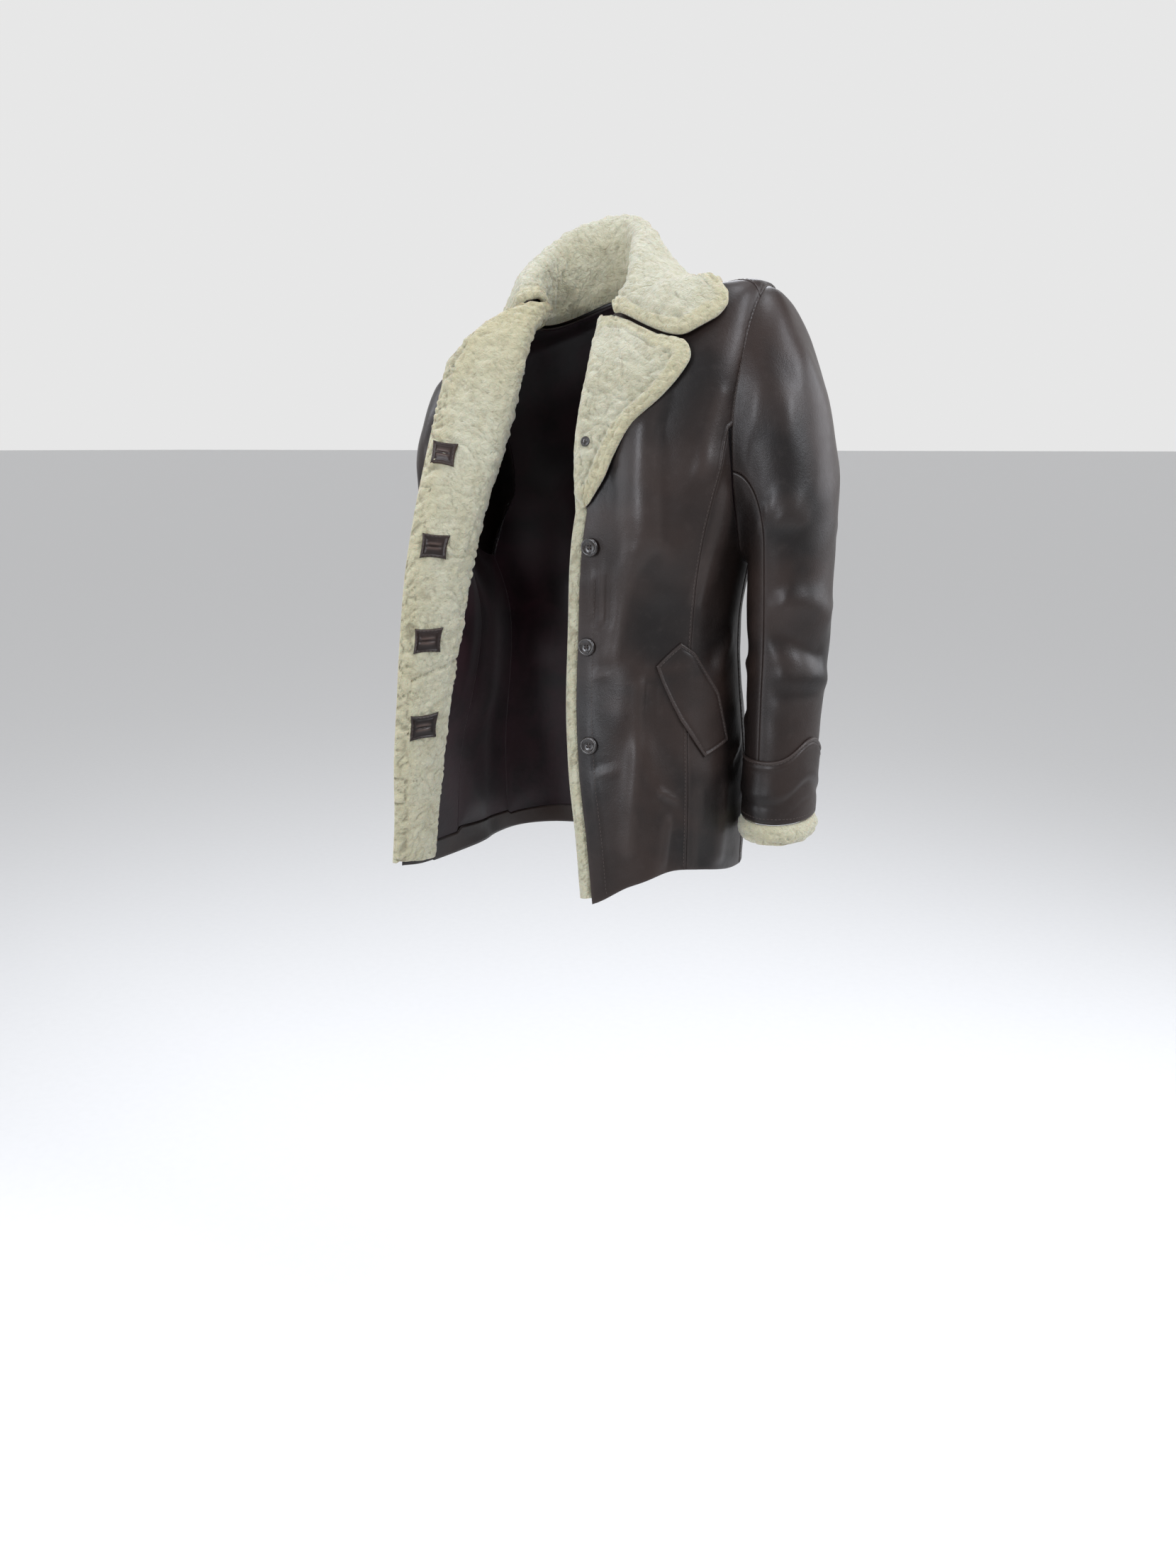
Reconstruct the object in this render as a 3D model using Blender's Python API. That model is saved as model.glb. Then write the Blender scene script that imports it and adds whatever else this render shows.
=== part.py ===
"""A worn leather jacket with a shearling collar, lapels and front facings, hanging open.

Metres, +Z up, the front faces -Y and the wearer's left is +X. The origin lies on the line between
the two shoulder-neck points, where the wearer carries the jacket.

The body is one hollow form: a stack of rounded rings from the hem to the neck. A place on it is
given by AROUND, the degrees round the body from the side (0) to the centre front (-90) or the
centre back (90), and by LEVEL, the distance up from the hem along the cloth. Both sides use the
same numbers. Each panel is a grid of such places between its seams, thickened into a wall.
"""

import math
from collections import namedtuple

import bmesh
import bpy
import numpy as np

LEFT = 1
RIGHT = -1

LEATHER = 0.0018
LINING = 0.0010
FUR = 0.0080
SEAM_GAP = 0.0003
LAYER_GAP = 0.0005
SHOULDER_GAP = 0.0008
NECK_GAP = 0.0024
FACING_GAP = 0.0011
SLEEVE_GAP = 0.0009

# ---- the body's form ----------------------------------------------------------------------------

Ring = namedtuple(
    "Ring", "level front side back half_width front_depth back_depth sway forward square tilt"
)
RINGS = (
    Ring(0.000, -0.668, -0.652, -0.660, 0.167, 0.156, 0.118, 0.020, 0.000, 2.2, 0.00),
    Ring(0.120, -0.548, -0.538, -0.540, 0.169, 0.144, 0.122, 0.020, 0.000, 2.3, 0.00),
    Ring(0.320, -0.338, -0.335, -0.335, 0.158, 0.120, 0.100, 0.018, 0.000, 2.3, 0.00),
    Ring(0.425, -0.236, -0.242, -0.228, 0.182, 0.124, 0.118, 0.008, 0.000, 2.6, 0.04),
    Ring(0.540, -0.130, -0.139, -0.105, 0.194, 0.112, 0.118, 0.000, 0.000, 3.4, 0.11),
    Ring(0.620, -0.070, -0.062, -0.036, 0.199, 0.092, 0.104, 0.000, 0.002, 3.6, 0.16),
    Ring(0.665, -0.036, -0.015, 0.004, 0.197, 0.064, 0.080, 0.000, 0.006, 3.4, 0.19),
    Ring(0.715, -0.021, -0.004, 0.014, 0.145, 0.050, 0.068, 0.000, 0.006, 2.6, 0.15),
    Ring(0.785, -0.008, -0.001, 0.020, 0.080, 0.042, 0.058, 0.000, 0.004, 2.2, 0.14),
)
NECK_LEVEL = 0.785

# The right front hangs open: its fold and its front edge in plan, below the same places of the
# ring table. The cloth runs from the side to the fold and turns outwards there, fur side out.
OpenFront = namedtuple("OpenFront", "level fold_x fold_y edge_x edge_y rise")
OPEN_FRONT = (
    OpenFront(0.000, -0.168, -0.150, -0.186, -0.192, 0.000),
    OpenFront(0.085, -0.156, -0.152, -0.174, -0.196, 0.000),
    OpenFront(0.160, -0.144, -0.152, -0.168, -0.199, 0.000),
    OpenFront(0.230, -0.132, -0.150, -0.160, -0.198, 0.000),
    OpenFront(0.300, -0.119, -0.146, -0.154, -0.194, 0.000),
    OpenFront(0.380, -0.108, -0.140, -0.147, -0.186, 0.000),
    OpenFront(0.440, -0.098, -0.131, -0.143, -0.172, 0.000),
    OpenFront(0.490, -0.088, -0.121, -0.143, -0.154, 0.000),
    OpenFront(0.545, -0.077, -0.108, -0.145, -0.134, 0.000),
    OpenFront(0.630, -0.066, -0.086, -0.146, -0.112, 0.003),
    OpenFront(0.700, -0.060, -0.062, -0.144, -0.094, 0.014),
    OpenFront(0.785, -0.056, -0.040, -0.140, -0.078, 0.028),
)
OPEN_FROM = -14.0
FOLD_AROUND = -50.0
OPEN_EDGE_AROUND = -82.0
FOLD_ROUND = 0.0009


def table_curve(rows, column, by="level"):
    """A smooth curve through one column of a table, as a function of another."""
    knots = np.array([getattr(row, by) for row in rows], float)
    values = np.array([getattr(row, column) for row in rows], float)
    gaps = np.diff(knots)
    rises = np.diff(values) / gaps
    slopes = np.concatenate(([rises[0]], rises, [rises[-1]]))
    slopes = (slopes[:-1] + slopes[1:]) / 2
    slopes[1:-1] = (rises[:-1] * gaps[1:] + rises[1:] * gaps[:-1]) / (gaps[:-1] + gaps[1:])

    def curve(at):
        at = np.asarray(at, float)
        inside = np.clip(at, knots[0], knots[-1])
        index = np.clip(np.searchsorted(knots, inside, side="right") - 1, 0, len(gaps) - 1)
        gap = gaps[index]
        t = (inside - knots[index]) / gap
        value = (1 + 2 * t) * (1 - t) ** 2 * values[index]
        value = value + t * (1 - t) ** 2 * gap * slopes[index]
        value = value + t * t * (3 - 2 * t) * values[index + 1]
        value = value + t * t * (t - 1) * gap * slopes[index + 1]
        beyond = at - inside
        return value + beyond * np.where(beyond > 0, slopes[-1], slopes[0])

    return curve


RING = {column: table_curve(RINGS, column) for column in Ring._fields[1:]}
OPEN = {column: table_curve(OPEN_FRONT, column) for column in OpenFront._fields[1:]}


# The largest soft folds: ridges and hollows (below zero) that run between two places.
Fold = namedtuple("Fold", "side around level to_around to_level width height")
FOLDS = (
    Fold(LEFT, -24.0, 0.520, -44.0, 0.330, 0.020, 0.0045),
    Fold(LEFT, -50.0, 0.480, -62.0, 0.180, 0.026, 0.0050),
    Fold(LEFT, -38.0, 0.400, -46.0, 0.150, 0.022, -0.0035),
    Fold(LEFT, -50.0, 0.210, -51.0, 0.000, 0.018, 0.0050),
    Fold(LEFT, -12.0, 0.420, -18.0, 0.250, 0.020, -0.0040),
    Fold(LEFT, -24.0, 0.170, -22.0, 0.000, 0.024, 0.0045),
    Fold(LEFT, 40.0, 0.480, 58.0, 0.250, 0.024, 0.0045),
    Fold(LEFT, 30.0, 0.240, 38.0, 0.000, 0.026, 0.0055),
    Fold(LEFT, 62.0, 0.220, 66.0, 0.000, 0.028, -0.0045),
    Fold(RIGHT, 38.0, 0.500, 60.0, 0.270, 0.024, 0.0045),
    Fold(RIGHT, 28.0, 0.260, 34.0, 0.000, 0.026, 0.0055),
    Fold(RIGHT, 58.0, 0.230, 64.0, 0.000, 0.028, -0.0045),
    Fold(RIGHT, -20.0, 0.480, -34.0, 0.260, 0.022, 0.0045),
    Fold(RIGHT, -14.0, 0.200, -12.0, 0.000, 0.024, 0.0040),
)
METRES_PER_DEGREE = 0.0026


def fold_height(folds, u, v, per_u):
    """How far the folds push a form out at (u, v); PER_U turns u into metres."""
    height = 0.0
    for fold in folds:
        run_u = (fold.to_around - fold.around) * per_u
        run_v = fold.to_level - fold.level
        length = math.hypot(run_u, run_v)
        from_u = (u - fold.around) * per_u
        from_v = v - fold.level
        along = (from_u * run_u + from_v * run_v) / length**2
        across = (from_u * run_v - from_v * run_u) / length
        past = np.maximum(0, np.abs(along - 0.5) - 0.35) * length
        height = height + fold.height * np.exp(-(across**2 + past**2) / fold.width**2)
    return height


def ring_body(around, level, side):
    """The closed form: a rounded ring at each level, the shoulders tilted up to the left."""
    angle = np.radians(around)
    across = np.cos(angle)
    back = np.sin(angle)
    square = RING["square"](level)
    depth = np.where(back < 0, RING["front_depth"](level), RING["back_depth"](level))
    radius = (np.abs(across) / RING["half_width"](level)) ** square
    radius = (radius + (np.abs(back) / depth) ** square) ** (-1 / square)
    folds = [fold for fold in FOLDS if fold.side == side]
    radius = radius + fold_height(folds, around, level, METRES_PER_DEGREE)
    rest = RING["side"](level)
    height = rest + (RING["front"](level) - rest) * np.clip(-back, 0, 1) ** 2
    height = height + (RING["back"](level) - rest) * np.clip(back, 0, 1) ** 2
    height = height + RING["tilt"](level) * side * radius * across
    x = RING["sway"](level) + side * radius * across
    y = RING["forward"](level) + radius * back
    return np.stack(np.broadcast_arrays(x, y, height), -1)


def open_body(around, level):
    """The right side: the closed form as far as OPEN_FROM, then the open front."""
    around, level = np.broadcast_arrays(np.asarray(around, float), np.asarray(level, float))
    closed = ring_body(around, level, RIGHT)
    start = ring_body(OPEN_FROM, level, RIGHT)
    lead = start - ring_body(OPEN_FROM + 1, level, RIGHT)
    fold = np.stack([OPEN["fold_x"](level), OPEN["fold_y"](level)], -1)
    edge = np.stack([OPEN["edge_x"](level), OPEN["edge_y"](level)], -1)
    first = OPEN_FROM - FOLD_AROUND
    second = FOLD_AROUND - OPEN_EDGE_AROUND
    lead = lead[..., :2] * first
    turn = ((fold - start[..., :2]) / first * second + (edge - fold) / second * first) / (
        first + second
    )
    turn[..., 1] -= FOLD_ROUND * np.clip((level - 0.38) / 0.2, 0, 1)
    t = np.clip((OPEN_FROM - around) / first, 0, 1)[..., None]
    plan = (1 + 2 * t) * (1 - t) ** 2 * start[..., :2] + t * (1 - t) ** 2 * lead
    plan = plan + t * t * (3 - 2 * t) * fold + t * t * (t - 1) * turn * first
    q = np.clip((FOLD_AROUND - around) / second, 0, None)[..., None]
    run_out = (edge - fold) / second
    inner = np.clip(q, 0, 1)
    outer = (1 + 2 * inner) * (1 - inner) ** 2 * fold + inner * (1 - inner) ** 2 * turn * second
    outer = outer + inner * inner * (3 - 2 * inner) * edge
    outer = outer + inner * inner * (inner - 1) * run_out * second
    outer = outer + (q - inner) * second * run_out
    plan = np.where(around[..., None] < FOLD_AROUND, outer, plan)
    height = closed[..., 2:] + OPEN["rise"](level)[..., None] * t * t * (3 - 2 * t)
    swung = np.concatenate([plan, height], -1)
    return np.where(around[..., None] < OPEN_FROM, swung, closed)


def body(around, level, side):
    """A point of the body's form, which is the inner face of the leather."""
    around = np.asarray(around, float)
    level = np.asarray(level, float)
    return ring_body(around, level, LEFT) if side == LEFT else open_body(around, level)


def outward(around, level, side):
    """The form's unit normal, away from the wearer."""
    around_step = 0.2
    level_step = 0.0005
    along = body(around + around_step, level, side) - body(around - around_step, level, side)
    up = body(around, level + level_step, side) - body(around, level - level_step, side)
    normal = side * np.cross(along, up)
    return normal / np.linalg.norm(normal, axis=-1, keepdims=True)


def lifted(around, level, side, height):
    """The point that lies HEIGHT outside the form."""
    height = np.asarray(height, float)[..., None]
    return body(around, level, side) + outward(around, level, side) * height


def degrees_per_metre(around, level, side):
    """How far round the body one metre of cloth goes there."""
    step = body(around + 0.5, level, side) - body(around - 0.5, level, side)
    return 1 / np.linalg.norm(step, axis=-1)


# ---- seams, as places (around, level) -----------------------------------------------------------

HEM_TURN = 0.030
BREAK_LEVEL = 0.444
BREAK_STEPS = 11
PRINCESS_TOP = 0.530
ARMHOLE_TOP = 0.660
ARMHOLE_BOTTOM = 0.385
ARMHOLE_FRONT = -19.5
ARMHOLE_BACK = 24.0
SHOULDER_SEAM_TIP = -8.0
SHOULDER_SEAM_NECK = -24.0
SIDE_SEAM = 4.0
LOWER_STEPS = 15
YOKE_STEPS = 6

Place = namedtuple("Place", "level around")
FRONT_EDGE_LEFT = (
    Place(0.000, -73.0),
    Place(0.084, -76.4),
    Place(0.170, -81.4),
    Place(0.234, -84.1),
    Place(0.319, -83.0),
    Place(0.409, -76.4),
    Place(BREAK_LEVEL, -72.8),
)
ROLL_LINE = (
    Place(BREAK_LEVEL, -72.8),
    Place(0.515, -71.5),
    Place(0.589, -67.0),
    Place(0.662, -61.0),
    Place(0.744, -48.8),
    Place(NECK_LEVEL, SHOULDER_SEAM_NECK),
)
FRONT_EDGE_RIGHT = (
    Place(0.000, -77.0),
    Place(0.580, -77.0),
    Place(0.634, -76.0),
)
GORGE_RIGHT = (
    Place(0.634, -76.0),
    Place(0.712, -64.0),
    Place(0.758, -48.0),
    Place(NECK_LEVEL, SHOULDER_SEAM_NECK),
)
PRINCESS_SEAM = (
    Place(0.000, -34.3),
    Place(0.178, -33.0),
    Place(0.309, -28.5),
    Place(0.424, -27.0),
    Place(PRINCESS_TOP, -19.5),
)
HEM_LEFT = (
    Place(0.000, -95.0),
    Place(0.002, -73.0),
    Place(0.024, -57.0),
    Place(0.036, -41.0),
    Place(0.030, -28.0),
    Place(0.011, -7.0),
    Place(0.003, 20.0),
    Place(0.000, 90.0),
)
HEM_RIGHT = (
    Place(0.024, -90.0),
    Place(0.022, -77.0),
    Place(0.012, -47.0),
    Place(0.010, -28.0),
    Place(0.006, -7.0),
    Place(0.002, 20.0),
    Place(0.000, 90.0),
)
HEM_LEVEL = {
    LEFT: table_curve(HEM_LEFT, "level", by="around"),
    RIGHT: table_curve(HEM_RIGHT, "level", by="around"),
}


def seam(places, steps):
    """Evenly spread places along a smooth seam through the listed ones, as (steps + 1, 2)."""
    around = table_curve(places, "around")
    levels = np.linspace(places[0].level, places[-1].level, steps + 1)
    return np.stack([around(levels), levels], -1)


def armhole(turn):
    """The armhole at an angle from its top, towards the back where the angle is positive."""
    turn = np.asarray(turn, float)
    middle = (ARMHOLE_TOP + ARMHOLE_BOTTOM) / 2
    level = middle + (ARMHOLE_TOP - ARMHOLE_BOTTOM) / 2 * np.cos(turn)
    bulge = np.where(np.sin(turn) < 0, -ARMHOLE_FRONT, ARMHOLE_BACK)
    lean = SIDE_SEAM * (1 - np.cos(turn)) / 2
    return np.stack([bulge * np.sin(turn) + lean, level], -1)


def armhole_turn_at(level, front):
    """The armhole's angle where it crosses a level."""
    middle = (ARMHOLE_TOP + ARMHOLE_BOTTOM) / 2
    turn = math.acos((level - middle) * 2 / (ARMHOLE_TOP - ARMHOLE_BOTTOM))
    return -turn if front else turn


def seam_turn():
    """The armhole's angle at the shoulder seam, which lies a little forward of the top."""
    return math.asin(SHOULDER_SEAM_TIP / -ARMHOLE_FRONT)


def joined(*runs):
    """Runs of places end to end, each one's first place being the last one's end."""
    return np.concatenate([runs[0]] + [run[1:] for run in runs[1:]])


def from_hem(places, steps, side):
    """A seam up from the hem whose first step is the hem's turning."""
    around = table_curve(places, "around")
    start = HEM_LEVEL[side](around(0.0))
    levels = np.append(start, np.linspace(start + HEM_TURN, places[-1].level, steps))
    return np.stack([around(levels), levels], -1)


def coons(bottom, top, first, last, reach=1):
    """A grid of places inside four seams; FIRST and LAST run up its sides.

    The higher REACH is, the sooner the top seam's own bends fade out below it.
    """
    rows = len(first)
    columns = len(bottom)
    u = np.linspace(0, 1, columns)[None, :, None]
    v = np.linspace(0, 1, rows)[:, None, None]
    across = (1 - u) * first[:, None] + u * last[:, None]
    below = bottom - ((1 - u[0]) * bottom[0] + u[0] * bottom[-1])
    above = top - ((1 - u[0]) * top[0] + u[0] * top[-1])
    return across + (1 - v) * below[None] + v**reach * above[None]


def straight(start, end, steps):
    return np.linspace(start, end, steps + 1)


def hem_line(start, end, steps, side):
    around = np.linspace(start, end, steps + 1)
    return np.stack([around, HEM_LEVEL[side](around)], -1)


def shoulder_seam(start, end, steps):
    """A stretch of the shoulder seam, from 0 at the neck to 1 at the armhole."""
    tip = armhole(seam_turn())
    neck = np.array([SHOULDER_SEAM_NECK, NECK_LEVEL])
    share = np.linspace(start, end, steps + 1)[:, None]
    return neck + (tip - neck) * share


# ---- panel grids --------------------------------------------------------------------------------

FACING_COLUMNS = 4
FRONT_COLUMNS = 4
SIDE_COLUMNS = 4
BACK_COLUMNS = 9
FACING_WIDTH = 0.078
FACING_TOP_SHARE = 0.35


def princess_run(side):
    return from_hem(PRINCESS_SEAM, LOWER_STEPS, side)


def yoke_run(front):
    """The armhole from where a lower panel ends up to the shoulder seam."""
    start = armhole_turn_at(PRINCESS_TOP, True) if front else math.pi
    return armhole(np.linspace(start, seam_turn(), YOKE_STEPS + 1))


def edge_run(side):
    """The front edge from the hem, then the roll line or gorge, to the shoulder seam."""
    steps = LOWER_STEPS + YOKE_STEPS
    if side == LEFT:
        lower = from_hem(FRONT_EDGE_LEFT, BREAK_STEPS, side)
        return joined(lower, seam(ROLL_LINE, steps - BREAK_STEPS))
    lower = from_hem(FRONT_EDGE_RIGHT, LOWER_STEPS, side)
    return joined(lower, seam(GORGE_RIGHT, YOKE_STEPS))


def facing_run(side):
    """The inner edge of the facing, a hand's breadth from the front edge."""
    if side == RIGHT:
        top = shoulder_seam(FACING_TOP_SHARE, 1, 1)[0]
        places = (
            Place(0.000, FOLD_AROUND + 3),
            Place(0.300, FOLD_AROUND + 3),
            Place(0.500, FOLD_AROUND + 8),
            Place(0.640, FOLD_AROUND + 18),
            Place(top[1], top[0]),
        )
        return from_hem(places, LOWER_STEPS + YOKE_STEPS, side)
    edge = edge_run(side)
    reach = FACING_WIDTH * degrees_per_metre(edge[:, 0] + 10, edge[:, 1], side)
    run = edge + np.stack([reach, 0 * reach], -1)
    top = shoulder_seam(FACING_TOP_SHARE, 1, 1)[0]
    share = np.clip((np.arange(len(run)) - BREAK_STEPS) / (len(run) - 1 - BREAK_STEPS), 0, 1)
    share = share[:, None] ** 2
    run = run * (1 - share) + top * share
    run[:, 0] = np.minimum(run[:, 0], top[0])
    hem = HEM_LEVEL[side](run[0, 0])
    low = run[:, 1] < BREAK_LEVEL
    run[low, 1] += (hem - run[0, 1]) * (1 - run[low, 1] / BREAK_LEVEL)
    return run


def facing_grid(side):
    first = edge_run(side)
    last = facing_run(side)
    bottom = hem_line(first[0, 0], last[0, 0], FACING_COLUMNS, side)
    return coons(bottom, shoulder_seam(0, FACING_TOP_SHARE, FACING_COLUMNS), first, last)


def front_grid(side):
    first = facing_run(side)
    last = joined(princess_run(side), yoke_run(True))
    bottom = hem_line(first[0, 0], last[0, 0], FRONT_COLUMNS, side)
    return coons(bottom, shoulder_seam(FACING_TOP_SHARE, 1, FRONT_COLUMNS), first, last)


def side_run(side):
    places = (Place(0.0, SIDE_SEAM), Place(ARMHOLE_BOTTOM, SIDE_SEAM))
    return from_hem(places, LOWER_STEPS, side)


def side_grid(side):
    first = princess_run(side)
    last = side_run(side)
    bottom = hem_line(first[0, 0], last[0, 0], SIDE_COLUMNS, side)
    start = armhole_turn_at(PRINCESS_TOP, True)
    top = armhole(np.linspace(start, -math.pi, SIDE_COLUMNS + 1))
    return coons(bottom, top, first, last)


def back_grid(side):
    """From the side seam and the armhole to the centre back."""
    first = joined(side_run(side), yoke_run(False))
    places = (Place(0.0, 90.0), Place(NECK_LEVEL, 90.0))
    last = from_hem(places, LOWER_STEPS + YOKE_STEPS, side)
    bottom = hem_line(first[0, 0], 90.0, BACK_COLUMNS, side)
    shoulder = shoulder_seam(1, FACING_TOP_SHARE, FRONT_COLUMNS)
    steps = BACK_COLUMNS - FRONT_COLUMNS - 1
    neck = straight((SHOULDER_SEAM_NECK, NECK_LEVEL), (90.0, NECK_LEVEL), steps)
    top = joined(shoulder, shoulder_seam(FACING_TOP_SHARE, 0, 1), neck)
    return coons(bottom, top, first, last, reach=4)


def back_top_gaps():
    """How far the back stops short of the shoulder seam and the neckline, per column."""
    return np.where(np.arange(BACK_COLUMNS + 1) < FRONT_COLUMNS, SHOULDER_GAP, NECK_GAP)


def towards(start, end, side, distance):
    """Places that lie a distance along the cloth from START on the way to END."""
    span = body(end[:, 0], end[:, 1], side) - body(start[:, 0], start[:, 1], side)
    share = distance / np.maximum(np.linalg.norm(span, axis=-1), 1e-6)
    return start + (end - start) * share[:, None]


def inset(grid, side, gap=SEAM_GAP / 2, top=SEAM_GAP / 2):
    """The grid with its four edges drawn in, so that a seam's two pieces stay apart."""
    inner = grid.copy()
    inner[:, 0] = towards(grid[:, 0], grid[:, 1], side, gap)
    inner[:, -1] = towards(grid[:, -1], grid[:, -2], side, gap)
    inner[0] = towards(inner[0], inner[1], side, gap)
    inner[-1] = towards(inner[-1], inner[-2], side, top)
    return inner


# ---- meshes -------------------------------------------------------------------------------------

Finish = namedtuple("Finish", "name colour roughness")
BROWN_LEATHER = Finish("brown_leather", (0.045, 0.030, 0.026), 0.42)
SHEARLING = Finish("shearling", (0.62, 0.60, 0.45), 0.95)
BURGUNDY_LINING = Finish("burgundy_lining", (0.030, 0.006, 0.010), 0.60)
DARK_HORN = Finish("dark_horn", (0.020, 0.016, 0.015), 0.30)


def material(node, finish):
    made = bpy.data.materials.new(node + "_" + finish.name)
    made.use_nodes = True
    shader = made.node_tree.nodes["Principled BSDF"]
    shader.inputs["Base Color"].default_value = (*finish.colour, 1)
    shader.inputs["Roughness"].default_value = finish.roughness
    shader.inputs["Metallic"].default_value = 0.0
    made.diffuse_color = (*finish.colour, 1)
    return made


def solid(name, points, faces, finish):
    """A named object with its faces turned outwards."""
    mesh = bpy.data.meshes.new(name)
    shape = bmesh.new()
    corners = [shape.verts.new(point) for point in points]
    for face in faces:
        shape.faces.new([corners[index] for index in face])
    bmesh.ops.recalc_face_normals(shape, faces=shape.faces[:])
    shape.to_mesh(mesh)
    shape.free()
    mesh.shade_smooth()
    mesh.set_sharp_from_angle(angle=math.radians(50))
    mesh.materials.append(material(name, finish))
    made = bpy.data.objects.new(name, mesh)
    bpy.context.scene.collection.objects.link(made)
    return made


def wall(name, outer, inner, finish, tube=False):
    """The closed wall between two grids of points; TUBE joins its first and last columns."""
    rows, columns = outer.shape[:2]
    points = np.concatenate([outer.reshape(-1, 3), inner.reshape(-1, 3)])
    under = rows * columns
    last = columns if tube else columns - 1
    faces = []
    for row in range(rows - 1):
        for column in range(last):
            a = row * columns + column
            b = row * columns + (column + 1) % columns
            c = b + columns
            d = a + columns
            faces += [(a, b, c), (a, c, d)]
            faces += [(under + c, under + b, under + a), (under + d, under + c, under + a)]
    for row in (0, rows - 1):
        for column in range(last):
            a = row * columns + column
            b = row * columns + (column + 1) % columns
            faces.append((a, b, under + b, under + a))
    if not tube:
        for row in range(rows - 1):
            for column in (0, columns - 1):
                a = row * columns + column
                faces.append((a, a + columns, under + a + columns, under + a))
    return solid(name, points, faces, finish)


def cloth(name, grid, side, low, high, finish):
    """A wall over a grid of places, between two heights above the form."""
    around = grid[..., 0]
    level = grid[..., 1]
    outer = lifted(around, level, side, high)
    inner = lifted(around, level, side, low)
    return wall(name, outer, inner, finish)


def cloth_over(name, grid, side, low, high, finish):
    """The same wall, with its own heights for each place."""
    around = grid[..., 0]
    level = grid[..., 1]
    return wall(name, lifted(around, level, side, high), lifted(around, level, side, low), finish)


# ---- front facings, lapels and linings -----------------------------------------------------------

# Past the leather's edge the fur turns out round it: how far it reaches, and its two faces.
Overhang = namedtuple("Overhang", "reach low high")
FUR_EDGE = (
    Overhang(0.0155, -0.0030, -0.0006),
    Overhang(0.0120, -0.0056, 0.0016),
    Overhang(0.0050, -0.0078, 0.0024),
    Overhang(0.0005, -0.0082, -0.0003),
)
ROLL_EDGE = (
    Overhang(0.0110, 0.0040, 0.0080),
    Overhang(0.0080, 0.0034, 0.0104),
    Overhang(0.0040, 0.0034, 0.0120),
)

LAPEL_EDGE = (
    Place(0.4560, -69.5),
    Place(0.4800, -62.5),
    Place(0.5070, -57.0),
    Place(0.5420, -48.5),
    Place(0.5660, -39.5),
    Place(0.5960, -31.5),
    Place(0.6160, -28.0),
)
NOTCH = (-37.0, 0.632)
GORGE_TOP = (-52.5, 0.700)
LAPEL_ROWS = 12
LAPEL_COLUMNS = 6
LAPEL_UNDER = (0.0022, 0.0037)
LAPEL_FUR = (0.0040, 0.0120)
LAPEL_LIFT = 0.0030


def edge_frame(grid, side):
    """Along a grid's first column: its points, the form's normal, and the way off the cloth."""
    around = grid[:, 0, 0]
    level = grid[:, 0, 1]
    points = body(around, level, side)
    normal = outward(around, level, side)
    along = np.gradient(points, axis=0)
    away = np.cross(normal, along)
    away /= np.linalg.norm(away, axis=-1, keepdims=True)
    inward = body(grid[:, 1, 0], grid[:, 1, 1], side) - points
    flip = np.where((away * inward).sum(-1) > 0, -1.0, 1.0)
    return points, normal, away * flip[:, None]


def past_edge(grid, side, profile, share, base):
    """Outer and inner columns of an overhang past the first column, a SHARE of it per row."""
    points, normal, away = edge_frame(grid, side)
    outer = []
    inner = []
    for step in profile:
        reach = (0.0003 + (step.reach - 0.0003) * share)[:, None]
        high = (base + (step.high - base) * share)[:, None]
        outer.append(points + away * reach + normal * high)
        inner.append(points + away * reach + normal * step.low)
    return np.stack(outer, 1), np.stack(inner, 1)


def make_facing(word, side):
    grid = facing_grid(side)
    rows = np.arange(len(grid))
    top = len(grid) - 4 if side == LEFT else LOWER_STEPS
    share = np.clip((top + 2 - rows) / 2, 0.04, 1.0)
    trimmed = inset(grid, side, SEAM_GAP, NECK_GAP)
    edge_outer, edge_inner = past_edge(trimmed, side, FUR_EDGE, share, -FACING_GAP)
    around = trimmed[..., 0]
    level = trimmed[..., 1]
    low = np.full(around.shape, -FACING_GAP - FUR)
    low[:, -1] = -FACING_GAP - FUR * 0.6
    low[-1] = -FACING_GAP - FUR * 0.2
    low[-2] = -FACING_GAP - FUR * 0.7
    outer = np.concatenate([edge_outer, lifted(around, level, side, -FACING_GAP)], 1)
    inner = np.concatenate([edge_inner, lifted(around, level, side, low)], 1)
    wall("facing_" + word, outer, inner, SHEARLING)


def lapel_grid():
    """The left lapel, folded out over the front, from the roll line to its edge."""
    roll = table_curve(ROLL_LINE, "around")
    levels = np.linspace(LAPEL_EDGE[0].level - 0.006, GORGE_TOP[1], LAPEL_ROWS + 1)
    first = np.stack([roll(levels), levels], -1)
    last = seam(LAPEL_EDGE, LAPEL_ROWS)
    bottom = straight(first[0], last[0], LAPEL_COLUMNS)
    half = LAPEL_COLUMNS // 2
    top = joined(straight(first[-1], NOTCH, half), straight(NOTCH, last[-1], half))
    return coons(bottom, top, first, last)


def make_lapel():
    grid = lapel_grid()
    share = np.linspace(0, 1, LAPEL_COLUMNS + 1)[None] * np.ones((len(grid), 1))
    lift = LAPEL_LIFT * share**2
    shaved = FUR * 0.45 * share**10
    around = grid[..., 0]
    level = grid[..., 1]
    cloth_over("lapel_under_left", grid, LEFT, LAPEL_UNDER[0] + lift, LAPEL_UNDER[1] + lift,
               BROWN_LEATHER)
    full = np.ones(len(grid))
    full[0] = 0.5
    edge_outer, edge_inner = past_edge(grid, LEFT, ROLL_EDGE, full, LAPEL_FUR[1])
    outer = lifted(around, level, LEFT, LAPEL_FUR[1] + lift - shaved)
    inner = lifted(around, level, LEFT, LAPEL_FUR[0] + lift)
    wall("lapel_left", np.concatenate([edge_outer, outer], 1),
         np.concatenate([edge_inner, inner], 1), SHEARLING)


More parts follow.
